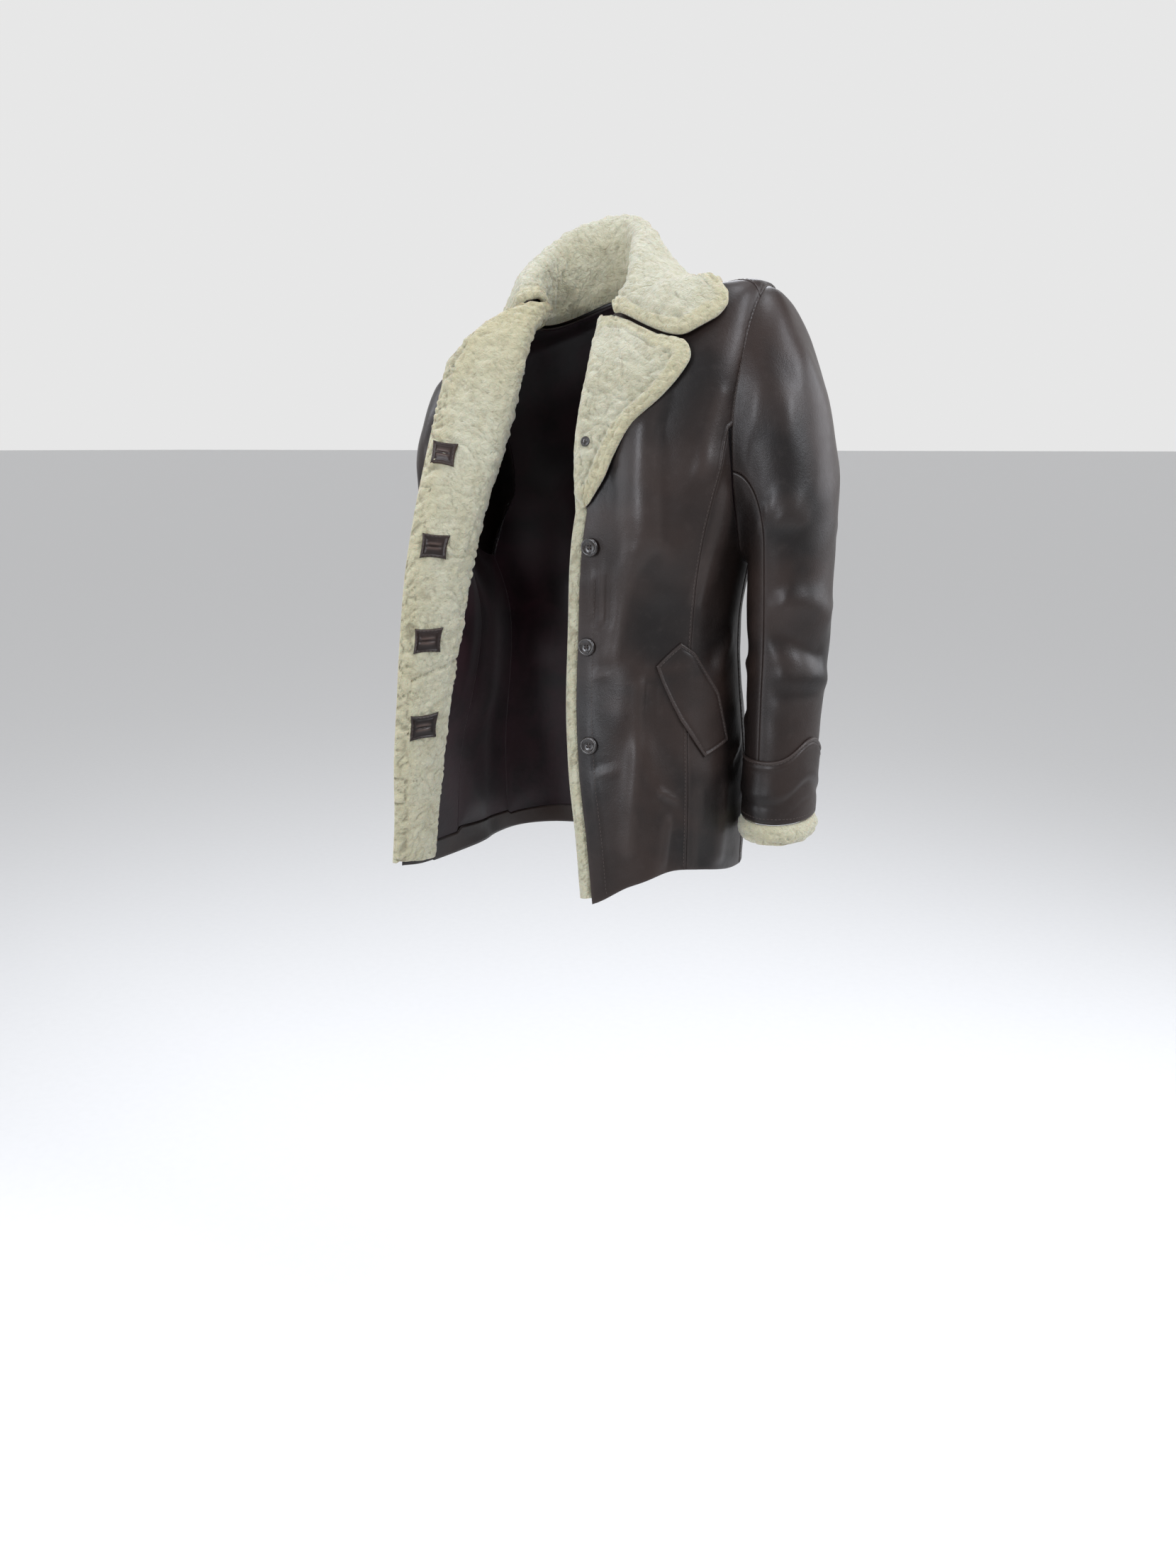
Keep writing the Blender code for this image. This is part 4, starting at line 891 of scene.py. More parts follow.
for word, side in SIDES:
    grid = side_places(side, spread(SIDE_WIDTH, HIDE_STEP), spread(SIDE_LENGTH, HIDE_STEP))
    make_panel("side_hide_" + word, "front_side_" + word, grid, side, (), 21 + side)

# ---- backs --------------------------------------------------------------------------------------
# Two hides joined down the centre back. The shoulder, side and centre seams' allowances are turned
# to these panels and topstitched, which raises their edges.

BACK_SHOULDER_SHARE = 0.44
BACK_WIDTH = 0.215


def back_places(side, u, v):
    first = joined(side_run(side), yoke_run(False))
    places = (Place(0.0, 90.0), Place(NECK_LEVEL, 90.0))
    last = seam(places, LOWER_STEPS + YOKE_STEPS, side)
    bottom = hem_line(first[0, 0], 90.0, side)
    shoulder = shoulder_seam(1, 0)
    neck = np.linspace((SHOULDER_SEAM_NECK, NECK_LEVEL), (90.0, NECK_LEVEL), 40)
    shoulder_u = np.linspace(0, BACK_SHOULDER_SHARE, len(shoulder))
    neck_u = np.linspace(BACK_SHOULDER_SHARE, 1, len(neck))
    run = joined(shoulder, neck)
    run_u = np.concatenate([shoulder_u, neck_u[1:]])
    shares = np.linspace(0, 1, 200)
    top = np.stack([np.interp(shares, run_u, run[:, column]) for column in (0, 1)], -1)
    return coons(bottom, top, first, last, u, v, reach=4)


SIDE_ROW = Sewn("first", STITCH_OFFSET, 0.0, 1.0, 0.0005)
SHOULDER_ROW = Sewn("top", STITCH_OFFSET, 0.03, 0.60, 0.0007)
BACK_SEWN = {LEFT: (SIDE_ROW, SEAM_ROW, SHOULDER_ROW), RIGHT: (SIDE_ROW, SHOULDER_ROW)}
for word, side in SIDES:
    grid = back_places(side, spread(BACK_WIDTH, HIDE_STEP), HEM_FINE)
    make_panel("back_hide_" + word, "back_" + word, grid, side, BACK_SEWN[side], 31 + side)

# ---- lining and hem turning ---------------------------------------------------------------------
# A dark burgundy satin lining hangs inside the leather, a little loose, and stops above the hem,
# where a strip of the leather is turned up inside.

LAYER_GAP = 0.0005
LINING = 0.0010
LINING_STEP = 0.0075
LINING_EASE = 0.0014


def satin_finish():
    """Satin lining: dark burgundy with a soft sheen and a fine twill rib."""
    made, shader, place = new_finish(
        "burgundy_satin", {"Sheen Weight": 0.08, "Sheen Roughness": 0.4, "Specular IOR Level": 0.3}
    )
    clouds = place.noise(0.05, 3.0, 0.6)
    rib = place.node(
        "ShaderNodeTexWave", {"bands_direction": "DIAGONAL"}, {"Vector": place, "Scale": 420.0}
    )
    creased = place.noise(0.012, 3.0, 1.5)
    wine = (colour(0.0050, 0.0012, 0.0024), colour(0.0150, 0.0034, 0.0060))
    base = clouds.between(0.3, 0.7).blend(*wine)
    height = rib * 0.10 + creased * 0.6
    feed(shader, Base_Color=base, Roughness=0.36 + clouds * 0.2, Normal=height.bumped(0.35, 0.0010))
    return made


BURGUNDY_SATIN = satin_finish()


for word, side in SIDES:
    strips = []
    for name, places, width, length in (
        ("front", front_places, FRONT_WIDTH, FRONT_LENGTH),
        ("side", side_places, SIDE_WIDTH, SIDE_LENGTH),
        ("back", back_places, BACK_WIDTH, FRONT_LENGTH),
    ):
        start = HEM_TURN / length
        strip = places(side, np.linspace(0, 1, round(width / 0.005)), np.linspace(0, start, 10))
        strips.append(strip[:, 1:] if strips else strip)
        rows = start + (1 - start) * spread(length * (1 - start), LINING_STEP)
        around, level = grid_of(inset(places(side, spread(width, LINING_STEP), rows), side))
        outer = lifted(around, level, side, -LAYER_GAP)
        nearest = nearest_edge(outer)
        drape = 1 + ripple(outer * (1.0, 1.0, 0.30), 0.030, 41)
        ease = LINING_EASE * drape * smooth(nearest / 0.03)
        wall = LINING * faded(0.4, rounded(nearest, 0.0018))
        inner = lifted(around, level, side, -LAYER_GAP - wall - ease)
        piece = name + "_" + word
        made = make_shell("lining_satin_" + piece, "lining_" + piece, outer, inner,
                          BURGUNDY_SATIN)
        declare_cloth(made, outer)
    around, level = grid_of(inset(np.concatenate(strips, 1), side))
    outer = lifted(around, level, side, -LAYER_GAP)
    inner = lifted(around, level, side, -LAYER_GAP - LEATHER)
    made = make_hide("hem_turning_hide_" + word, "hem_turning_" + word, outer, inner, 0.2)
    declare_cloth(made, outer)

# ---- shearling front facings --------------------------------------------------------------------
# Sheepskin with its wool left on and combed, 8 mm deep, sewn fur inwards down both fronts. The wool
# swells out round the leather's edge as a soft cream border.

FUR = 0.0080
FACING_GAP = 0.0011
FUR_STEP = 0.0026

Overhang = namedtuple("Overhang", "reach low high")
FUR_EDGE = rows_of(Overhang,
    (0.0005, -0.0082, -0.0003), (0.005, -0.008, 0.0022), (0.0105, -0.0062, 0.0018),
    (0.014, -0.0038, 0.0002), (0.0152, -0.0022, -0.0014))
OVERHANG_STEPS = 9


def fleece_finish(name, pale, deep, border):
    """Combed sheep's wool: cream in uneven clumps, yellower towards the bound edges, with painted shade
    darkening the hollows between the clumps.
    """
    made, shader, place = new_finish(
        name,
        {"Sheen Weight": 0.35, "Sheen Roughness": 0.5, "Specular IOR Level": 0.12,
         "Subsurface Weight": 0.12, "Subsurface Scale": 0.004},
    )
    tone = place.painted("tone")
    # The "depth" attribute is painted shade: how far a point lies down in the hollows between the
    # clumps.
    depth = place.painted("depth")
    blots = place.noise(0.030, 3.0, 0.8)
    curls = place.noise(0.0056, 2.0, 1.6)
    base = (blots.between(0.35, 0.70) * 0.7 + tone * 0.2).blend(pale, deep)
    base = tone.blend(base, border)
    # Painted shade: the hollows and the low parts of the curls are darkened towards a deep brown.
    shade = (depth * 0.75 + curls.between(0.5, 0.2) * 0.25).between(0.0, 1.0)
    base = (shade * 0.55).blend(base, colour(0.185, 0.166, 0.107))
    tufts = place.cells(0.0052)
    height = curls * 0.9 + (1 - tufts) * 0.5 + place.noise(0.0016, 2.0) * 0.22
    feed(shader, Base_Color=base, Roughness=0.86 + curls * 0.1, Normal=height.bumped(0.75, 0.0034))
    return made


CREAM_FLEECE = fleece_finish(
    "cream_fleece", colour(0.425, 0.412, 0.312), colour(0.355, 0.336, 0.232), colour(0.42, 0.388, 0.255)
)


def wool(points, seed):
    """The uneven surface of the wool: how far its clumps rise, from 0 to about 1."""
    warp = np.stack([ripple(points, 0.012, seed + axis) for axis in (1, 2, 3)], -1)
    moved = points + warp * 0.0035
    broad = np.abs(ripple(moved, 0.0080, seed + 4)) ** 0.8
    narrow = np.abs(ripple(moved, 0.0050, seed + 5)) ** 0.8
    return np.clip(0.74 * broad + 0.26 * narrow, 0, 1.3)


WOOL_RISE = 0.0026


WOOL_LEVEL = 0.55


def rise_on(skin, fur):
    """How freely the clumps rise: not at all where the wool has no depth."""
    return smooth(np.linalg.norm(fur - skin, axis=-1) / 0.004)


def make_fleece(name, node, skin, fur, rise, tone, seed, tube=False):
    """A shearling shell: wool from its skin out to FUR, where its clumps RISE unevenly."""
    depth = np.linalg.norm(fur - skin, axis=-1)[..., None]
    clumps = wool(fur, seed)
    height = ((clumps - WOOL_LEVEL) * WOOL_RISE * rise)[..., None]
    raised = fur + (fur - skin) / np.maximum(depth, 1e-6) * height
    # Painted shade: the hollows between the clumps, carried as the "depth" attribute, which the finish
    # darkens.
    painted_hollow_shade = np.clip(1 - clumps / WOOL_LEVEL, 0, 1) * rise
    values = {"tone": tone, "depth": painted_hollow_shade}
    return make_shell(name, node, raised, skin, CREAM_FLEECE, values, tube)


def lobe_on(grid, side, section):
    """The wool that swells past a grid's first column.

    Gives the column's points, the form's normal and the way off the cloth there, and the reach,
    low and high of the section's rows.
    """
    points = body(*grid_of(grid[:, 0]), side)
    normal = outward(*grid_of(grid[:, 0]), side)
    away = unit(np.cross(normal, np.gradient(points, axis=0)))
    inward = body(*grid_of(grid[:, 3]), side) - points
    away = away * np.where((away * inward).sum(-1) > 0, -1.0, 1.0)[:, None]
    reach = section[-1].reach * np.sin(np.linspace(math.pi / 2, 0.06, OVERHANG_STEPS))
    low, high = (table_curve(section, column, "reach")(reach) for column in ("low", "high"))
    return points[:, None], normal[:, None], away[:, None], reach, low, high


FACING_BOTTOM = 0.0065 / FRONT_LENGTH
FACING_ROWS = FACING_BOTTOM + (1 - FACING_BOTTOM) * spread(FRONT_LENGTH, FUR_STEP)
SOLID_ROWS = 21
FACING_TOP = {LEFT: 18 / SOLID_ROWS, RIGHT: 15 / SOLID_ROWS}
FACING_JOIN_LEVEL = 0.262
LOBE_LUMPS = 1.9
for word, side in SIDES:
    shares = spread(FACING_REACH, FUR_STEP, start=False)
    grid = inset(facing_places(side, shares, FACING_ROWS), side, 0.0006)
    around, level = grid_of(grid)
    points, normal, away, reach, low, high = lobe_on(grid, side, FUR_EDGE)
    share = np.clip((FACING_TOP[side] - FACING_ROWS) * SOLID_ROWS / 2 + 1, 0.04, 1)[:, None]
    lobe = points + away * (0.0003 + (reach - 0.0003) * share)[..., None]
    lobe_skin = lobe + normal * (-FACING_GAP + (high + FACING_GAP) * share)[..., None]
    lobe_fur = lobe + normal * low[:, None]
    flat = body(around, level, side)
    distances = edge_distances(flat)
    thick = FUR * faded(0.3, rounded(distances["last"], 0.007))
    thick = thick * faded(0.35, rounded(distances["bottom"], 0.006))
    thick = thick * faded(0.2 if side == LEFT else 0.85, smooth(distances["top"] / 0.022))
    if side == RIGHT:
        thick = thick - 0.0026 * hump(level, FACING_JOIN_LEVEL + 0.0006 * (around + 60), 0.0022)
    out = outward(around, level, side)
    skin = np.concatenate([lobe_skin, flat - out * FACING_GAP], 1)
    bottom = rounded(distances["bottom"][:, :1], 0.006)
    lobe_fur = lobe_skin + (lobe_fur - lobe_skin) * faded(0.35, bottom)[..., None]
    fur = np.concatenate([lobe_fur, flat - out * (FACING_GAP + thick)[..., None]], 1)
    rise = rise_on(skin, fur)
    rise[:, :OVERHANG_STEPS] *= LOBE_LUMPS
    lobe_tone = (0.1 if side == LEFT else 0.55) + 0 * lobe_fur[..., 0]
    near_edge = 0.55 * np.exp(-distances["first"] / 0.012)
    neck = 0.9 * smooth((level - 0.55) / 0.16) if side == RIGHT else 0.2 * smooth((level - 0.4) / 0.2)
    tone = np.concatenate([lobe_tone, np.clip(near_edge + neck, 0, 1)], 1)
    made = make_fleece("facing_fleece_" + word, "facing_" + word, skin, fur, rise, tone, 51 + side)
    declare_cloth(made, skin[:, OVERHANG_STEPS:])

# ---- left lapel ---------------------------------------------------------------------------------
# The facing's top, rolled out over the left front from the break. Its wool shows, bound by a strip
# 20 mm wide along the edge and pieced across; the leather of the front is under it.

LAPEL_EDGE = rows_of(Place,
    (0.456, -69.5), (0.48, -62.5), (0.507, -57), (0.542, -48.5), (0.566, -39.5), (0.596, -31.5),
    (0.616, -28))
NOTCH = (-37.0, 0.632)
GORGE_TOP = (-52.5, 0.700)
LAPEL_UNDER = (0.0022, 0.0037)
LAPEL_FUR = (0.0040, 0.0120)
LAPEL_LIFT = 0.0030
LAPEL_WIDTH = 0.085
LAPEL_LENGTH = 0.235
# The piecing seam crosses the lapel from the border strip: where, how steeply and how deep.
PIECING_IN = 0.020
PIECING_DOWN = 0.075
PIECING_SLOPE = 0.62
PIECING_GROOVE = 0.0012
ROLL_EDGE = rows_of(Overhang,
    (0.0004, 0.004, 0.012), (0.0045, 0.0036, 0.0117), (0.0085, 0.0038, 0.0096),
    (0.011, 0.0052, 0.0068))
BORDER = 0.0190
LAPEL_TIP = 0.022
BORDER_GROOVE = 0.0024


def lapel_places(u, v):
    roll = table_curve(ROLL_LINE, "around")
    levels = np.linspace(LAPEL_EDGE[0].level - 0.006, GORGE_TOP[1], 120)
    first = np.stack([roll(levels), levels], -1)
    last = seam(LAPEL_EDGE, 120)
    bottom = np.linspace(first[0], last[0], 60)
    top = joined(np.linspace(first[-1], NOTCH, 40), np.linspace(NOTCH, last[-1], 40))
    return coons(bottom, top, first, last, u, v)


def soften_corner(points, from_side, from_top, inward, radius):
    """How far to draw a grid in so that a corner of its top edge is rounded."""
    a = np.clip(1 - from_side / radius, 0, 1)
    b = np.clip(1 - from_top / radius, 0, 1)
    way_in = unit(np.gradient(points, axis=1)) * inward
    way_down = -unit(np.gradient(points, axis=0))
    drawn_in = radius * a * (1 - np.sqrt(1 - b * b / 2))
    drawn_down = radius * b * (1 - np.sqrt(1 - a * a / 2))
    return drawn_in[..., None] * way_in + drawn_down[..., None] * way_down


def border_depth(distance):
    """How much a bound edge's seam and its rounding take from the wool's depth."""
    middle_groove = hump(distance, 0.45 * BORDER, 0.0016)
    return BORDER_GROOVE * (hump(distance, BORDER, 0.0019) + 0.45 * middle_groove)


across = spread(LAPEL_WIDTH, FUR_STEP, start=False)
up = spread(LAPEL_LENGTH, FUR_STEP)
lapel = lapel_places(across, up)
flat = body(*grid_of(lapel), LEFT)
out = outward(*grid_of(lapel), LEFT)
lift = LAPEL_LIFT * across**2
distances = edge_distances(flat)
flat = flat + soften_corner(flat, distances["last"], distances["top"], -1, LAPEL_TIP)
rim = np.minimum(distances["last"], distances["top"])
thick = (LAPEL_FUR[1] - LAPEL_FUR[0]) * faded(0.16, rounded(rim, 0.0075))
thick = thick * faded(0.5, smooth(distances["bottom"] / 0.02)) - border_depth(rim)
piecing = (distances["last"] - PIECING_IN) * PIECING_SLOPE - (distances["top"] - PIECING_DOWN)
thick = thick - PIECING_GROOVE * hump(piecing, 0, 0.0016) * (distances["last"] > BORDER)
points, normal, away, reach, low, high = lobe_on(lapel, LEFT, ROLL_EDGE)
full = faded(0.35, smooth(up / 0.06))[:, None]
lobe = points + away * (reach * full)[..., None]
lobe_skin = lobe + normal * low[:, None]
lobe_fur = lobe + normal * (low + (high - low) * full)[..., None]
skin = np.concatenate([lobe_skin, flat + out * (LAPEL_FUR[0] + lift)[..., None]], 1)
fur = np.concatenate([lobe_fur, flat + out * (LAPEL_FUR[0] + lift + thick)[..., None]], 1)
tone = np.concatenate([0.15 + 0 * lobe_fur[..., 0], 0.75 * smooth((BORDER - rim) / 0.006)], 1)
made = make_fleece("lapel_fleece", "lapel_left", skin, fur, rise_on(skin, fur), tone, 61)
declare_cloth(made, skin)

inner, outer = (flat + out * (height + lift)[..., None] for height in LAPEL_UNDER)
made = make_hide("lapel_hide", "lapel_under_left", outer, inner, 0.3)
declare_cloth(made, outer)

# ---- collar -------------------------------------------------------------------------------------
# A broad shearling collar, wool outwards, that stands round the neck and folds over. A binding strip
# runs along its edge, and the under side is the brown hide.

Collar = namedtuple(
    "Collar", "share around level ridge_x ridge_y ridge_z edge_around edge_level edge_lift"
)
COLLAR = rows_of(
    Collar,
    (0.000, -46.0, 0.742, 0.050, -0.064, -0.006, -17.5, 0.640, 0.0064),
    (0.140, -20.0, 0.785, 0.056, -0.030, 0.032, -14.0, 0.692, 0.0060),
    (0.270, 20.0, 0.785, 0.040, 0.016, 0.068, 10.0, 0.716, 0.0064),
    (0.390, 55.0, 0.785, 0.020, 0.062, 0.097, 38.0, 0.684, 0.0100),
    (0.500, 90.0, 0.785, -0.010, 0.084, 0.112, 90.0, 0.664, 0.0200),
    (0.610, 125.0, 0.785, -0.056, 0.062, 0.100, 142.0, 0.680, 0.0120),
    (0.730, 160.0, 0.785, -0.078, 0.010, 0.066, 168.0, 0.700, 0.0070),
    (0.860, 200.0, 0.785, -0.076, -0.030, 0.040, 191.0, 0.686, 0.0070),
    (1.000, 225.0, 0.764, -0.061, -0.062, 0.013, 210.0, 0.652, 0.0070),
)
COLLAR_CURVE = curves(COLLAR)
COLLAR_TIP = 0.024
COLLAR_BASE_LIFT = 0.0050
COLLAR_END_SAG = 0.140
COLLAR_RIDGE_WIDTH = 0.036
COLLAR_LENGTH = 0.52
COLLAR_FALL = 0.110
STAND_ROWS = 24
COLLAR_FACES = (-0.0015, -0.00015, 0.00015)
# The strip over the neck seam: its stretch of the collar, its depth below and its place above.
NECK_STRIP_FROM = 0.11
NECK_STRIP_TO = 0.90
NECK_STRIP_COLUMNS = 110
NECK_STRIP = 0.010
NECK_STRIP_TOP = 0.10
NECK_STRIP_WALL = 0.0010


def lying(around, level, height):
    """A point over the form on either side."""
    left = lifted(around, level, LEFT, height)
    right = lifted(180 - around, level, RIGHT, height)
    return np.where(np.asarray(around)[..., None] < 90, left, right)


def collar_middle(share, place):
    """The collar's middle surface: PLACE runs 0 to 1 up the stand and 1 to 2 down the fall."""
    at = {column: curve(share) for column, curve in COLLAR_CURVE.items()}
    base = lying(at["around"], at["level"], COLLAR_BASE_LIFT + 0 * share)
    ridge = np.stack([at["ridge_x"], at["ridge_y"], at["ridge_z"]], -1)
    edge = lying(at["edge_around"], at["edge_level"], at["edge_lift"])
    flat = edge - ridge
    flat[..., 2] = 0
    over = unit(flat) * COLLAR_RIDGE_WIDTH
    height = np.linalg.norm(ridge - base, axis=-1, keepdims=True)
    rise = np.array([0.0, 0.0, 1.0]) * height
    drop = (edge - ridge) * np.array([0.75, 0.75, 1.25])
    over_stand = over * np.clip(height / 0.06, 0.25, 1)
    stand = hermite(base, rise, ridge, over_stand, np.clip(place, 0, 1)[..., None])
    fall = np.clip(place - 1, 0, 1)
    leaf = hermite(ridge, over_stand * 1.6, edge, drop, fall[..., None])
    sag = COLLAR_END_SAG * (1 - fall) * np.clip(1 - share / 0.14, 0, 1) ** 2
    resting = lying(
        at["around"] + (at["edge_around"] - at["around"]) * fall,
        at["level"] + (at["edge_level"] - at["level"]) * fall - sag,
        at["edge_lift"] + 0.010 * (1 - fall),
    )
    leaf = leaf + (resting - leaf) * smooth((fall - 0.1) / 0.5)[..., None]
    return np.where(place[..., None] <= 1, stand, leaf)


stand_rows = np.linspace(0, 1, STAND_ROWS, endpoint=False)
fall_rows = 1 + spread(COLLAR_FALL, FUR_STEP, start=False)
place = np.concatenate([stand_rows, fall_rows])
share, place = np.meshgrid(spread(COLLAR_LENGTH, FUR_STEP), place)
middle = collar_middle(share, place)
step = 1e-3
lower, higher = (collar_middle(share, np.clip(place + on, 0, 2)) for on in (-step, step))
up = higher - lower
round_neck = collar_middle(share + step, place) - collar_middle(share - step, place)
normal = unit(np.cross(up, round_neck))
distances = edge_distances(middle)
ends = np.minimum(distances["first"], distances["last"])
middle = middle + soften_corner(middle, distances["first"], distances["top"], 1, COLLAR_TIP)
middle = middle + soften_corner(middle, distances["last"], distances["top"], -1, COLLAR_TIP)
rim = np.minimum(distances["top"], ends)
thick = FUR * faded(0.14, rounded(rim, 0.0075))
thick = thick * faded(0.35, smooth(distances["bottom"] / 0.010)) - border_depth(rim)
tone = 0.75 * smooth((BORDER - rim) / 0.006) + 0.25 * smooth((1 - place) / 0.5)
inner, outer, skin = (middle + normal * height for height in COLLAR_FACES)
fur = skin + normal * thick[..., None]
for made in (
    make_fleece("collar_fleece", "collar", skin, fur, rise_on(skin, fur), tone, 71),
    make_hide("undercollar_hide", "undercollar", outer, inner, 0.3),
):
    declare_cloth(made, middle)

shares = np.linspace(NECK_STRIP_FROM, NECK_STRIP_TO, NECK_STRIP_COLUMNS)
around = COLLAR_CURVE["around"](shares)
level = COLLAR_CURVE["level"](shares)
even = np.ones(NECK_STRIP_COLUMNS)
foot = lying(around, level - NECK_STRIP, (LEATHER + 0.0002) * even)
knee = lying(around, level - 0.001, (LEATHER + 0.0008) * even)
head = collar_middle(shares, NECK_STRIP_TOP * even)
ahead = collar_middle(shares + step, NECK_STRIP_TOP * even) - head
above = collar_middle(shares, (NECK_STRIP_TOP + 0.01) * even) - head
head = head - unit(np.cross(above, ahead)) * 0.0016
t = np.linspace(0, 1, 8)[:, None, None]
strip = (1 - t) ** 2 * foot + 2 * t * (1 - t) * knee + t * t * head
off = unit(np.cross(np.gradient(strip, axis=0), np.gradient(strip, axis=1)))
off = off * np.sign(off[0, NECK_STRIP_COLUMNS // 2] @ outward(90.0, NECK_LEVEL, LEFT))
made = make_hide("neck_seam_hide", None, strip + off * NECK_STRIP_WALL, strip, 0.1)
declare_cloth(made, strip)

# ---- sleeves ------------------------------------------------------------------------------------
# Two-piece set-in sleeves of the same hide: a broad top sleeve and a narrow under sleeve, eased into
# the armhole with small puckers, and creased at the elbow as the arm hangs.

Cuffward = namedtuple("Cuffward", "down x y z half_width half_depth rise")
SLEEVE = rows_of(
    Cuffward,
    (0.000, 0.2370, 0.016, -0.240, 0.0450, 0.0670, 0.080),
    (0.065, 0.2370, 0.018, -0.300, 0.0450, 0.0620, 0.040),
    (0.125, 0.2370, 0.018, -0.360, 0.0440, 0.0580, 0.012),
    (0.195, 0.2370, 0.014, -0.430, 0.0420, 0.0560, 0.000),
    (0.265, 0.2380, 0.008, -0.500, 0.0390, 0.0550, 0.000),
    (0.335, 0.2380, 0.004, -0.570, 0.0380, 0.0540, 0.000),
)
# Folds of a sleeve, by TURN in place of AROUND and the distance down from the armhole's ring.
SLEEVE_FOLDS = rows_of(Fold,
    (-1.4, 0.075, 0.1, 0.11, 0.014, 0.004), (-1.6, 0.11, -0.2, 0.15, 0.012, -0.0045),
    (-1.5, 0.16, 0.3, 0.175, 0.012, 0.004), (0.9, 0.03, 1.8, 0.12, 0.016, 0.0045),
    (0.5, 0.21, 1.7, 0.24, 0.014, -0.003), (2.4, 0.1, 3.6, 0.13, 0.013, -0.004))
SLEEVE_CREASES = rows_of(Fold,
    (-1.66, -0.095, -1.3, -0.052, 0.012, -0.0034), (-1.85, -0.046, -1, -0.005, 0.01, 0.002),
    (-1.65, 0, -1.15, 0.02, 0.01, -0.003), (-1.8, 0.082, -0.55, 0.09, 0.012, 0.0013),
    (-1.56, 0.141, -0.3, 0.155, 0.012, 0.0015), (-1.5, 0.197, -0.2, 0.194, 0.011, 0.0012),
    (-0.5, -0.07, 0.1, -0.04, 0.014, 0.0022), (0.4, 0.095, 1.7, 0.12, 0.01, 0.0026),
    (0.7, 0.15, 1.9, 0.146, 0.009, 0.0026), (0.6, 0.18, 1.6, 0.2, 0.009, -0.0022),
    (0.5, 0.02, 1.4, 0.05, 0.01, 0.0024), (1.9, 0.06, 3.1, 0.09, 0.01, 0.0024),
    (2.2, 0.165, 3.8, 0.15, 0.009, 0.0022), (2.3, 0.21, 3.7, 0.225, 0.009, 0.002))
METRES_PER_TURN = 0.050
RIGHT_ARM_IN = 0.029
RIGHT_ARM_DOWN = 0.045
SLEEVE_LENGTH = SLEEVE[-1].down
FRONT_SLEEVE_SEAM = math.radians(-105)
BACK_SLEEVE_SEAM = math.radians(115)
SLEEVE_SLIT = 0.0045
SLEEVE_GAP = 0.0002
SLEEVE_ROW_STEP = 0.0040
SLEEVE_STEP = 0.0042
TOP_SLEEVE_WIDTH = 0.22
UNDER_SLEEVE_WIDTH = 0.13
CAP_OUT = 0.105
RING_OF = curves(SLEEVE)


def turned_folds(folds, turn, down, trough=0.0):
    """The folds' height round the whole sleeve, whose TURN comes back after a full circle."""
    near = fold_height(folds, turn, down, METRES_PER_TURN, trough)
    return near + fold_height(folds, turn - 2 * math.pi, down, METRES_PER_TURN, trough)


def arm_ring(turn, down, side):
    """A point of the sleeve below its cap; TURN is 0 on the outer side, positive to the back."""
    folds = turned_folds(SLEEVE_FOLDS, turn, down)
    x = RING_OF["x"](down) + (RING_OF["half_width"](down) + folds) * np.cos(turn)
    y = RING_OF["y"](down) + (RING_OF["half_depth"](down) + folds) * np.sin(turn)
    z = RING_OF["z"](down) + RING_OF["rise"](down) * np.cos(turn) / 2
    if side == RIGHT:
        x = RIGHT_ARM_IN - x
        z = z - RIGHT_ARM_DOWN
    return np.stack(np.broadcast_arrays(x, y, z), -1)


def sleeve(turn, place, side):
    """A sleeve: PLACE runs 0 to 1 down the cap, then 1 to 2 down to the cuff."""
    turn, place = np.broadcast_arrays(np.asarray(turn, float), np.asarray(place, float))
    start = body(*grid_of(armhole(turn)), side)
    first = arm_ring(turn, 0.0, side)
    gap = np.linalg.norm(first - start, axis=-1, keepdims=True)
    upper = (1 + np.cos(turn[..., None])) / 2
    out = np.array([side * 1.0, 0.0, -0.10])
    leaving = out * (CAP_OUT * upper + 0.9 * gap * (1 - upper))
    arriving = (arm_ring(turn, 0.01, side) - first) / 0.01 * gap * 0.9
    cap = hermite(start, leaving, first, arriving, np.clip(place, 0, 1)[..., None])
    arm = arm_ring(turn, np.clip(place - 1, 0, None) * SLEEVE_LENGTH, side)
    return np.where(place[..., None] <= 1, cap, arm)


def sleeve_outward(turn, place, side):
    around = sleeve(turn + 0.01, place, side) - sleeve(turn - 0.01, place, side)
    up = sleeve(turn, np.clip(place - 0.002, 0, None), side) - sleeve(turn, place + 0.002, side)
    return unit(side * np.cross(around, up))


def sleeve_start(turn, side):
    """How far down its cap a sleeve begins, so that its wall clears the armhole's edge."""
    step = sleeve(turn, 0.01, side) - sleeve(turn, 0.0, side)
    return SLEEVE_GAP / np.linalg.norm(step, axis=-1) * 0.01


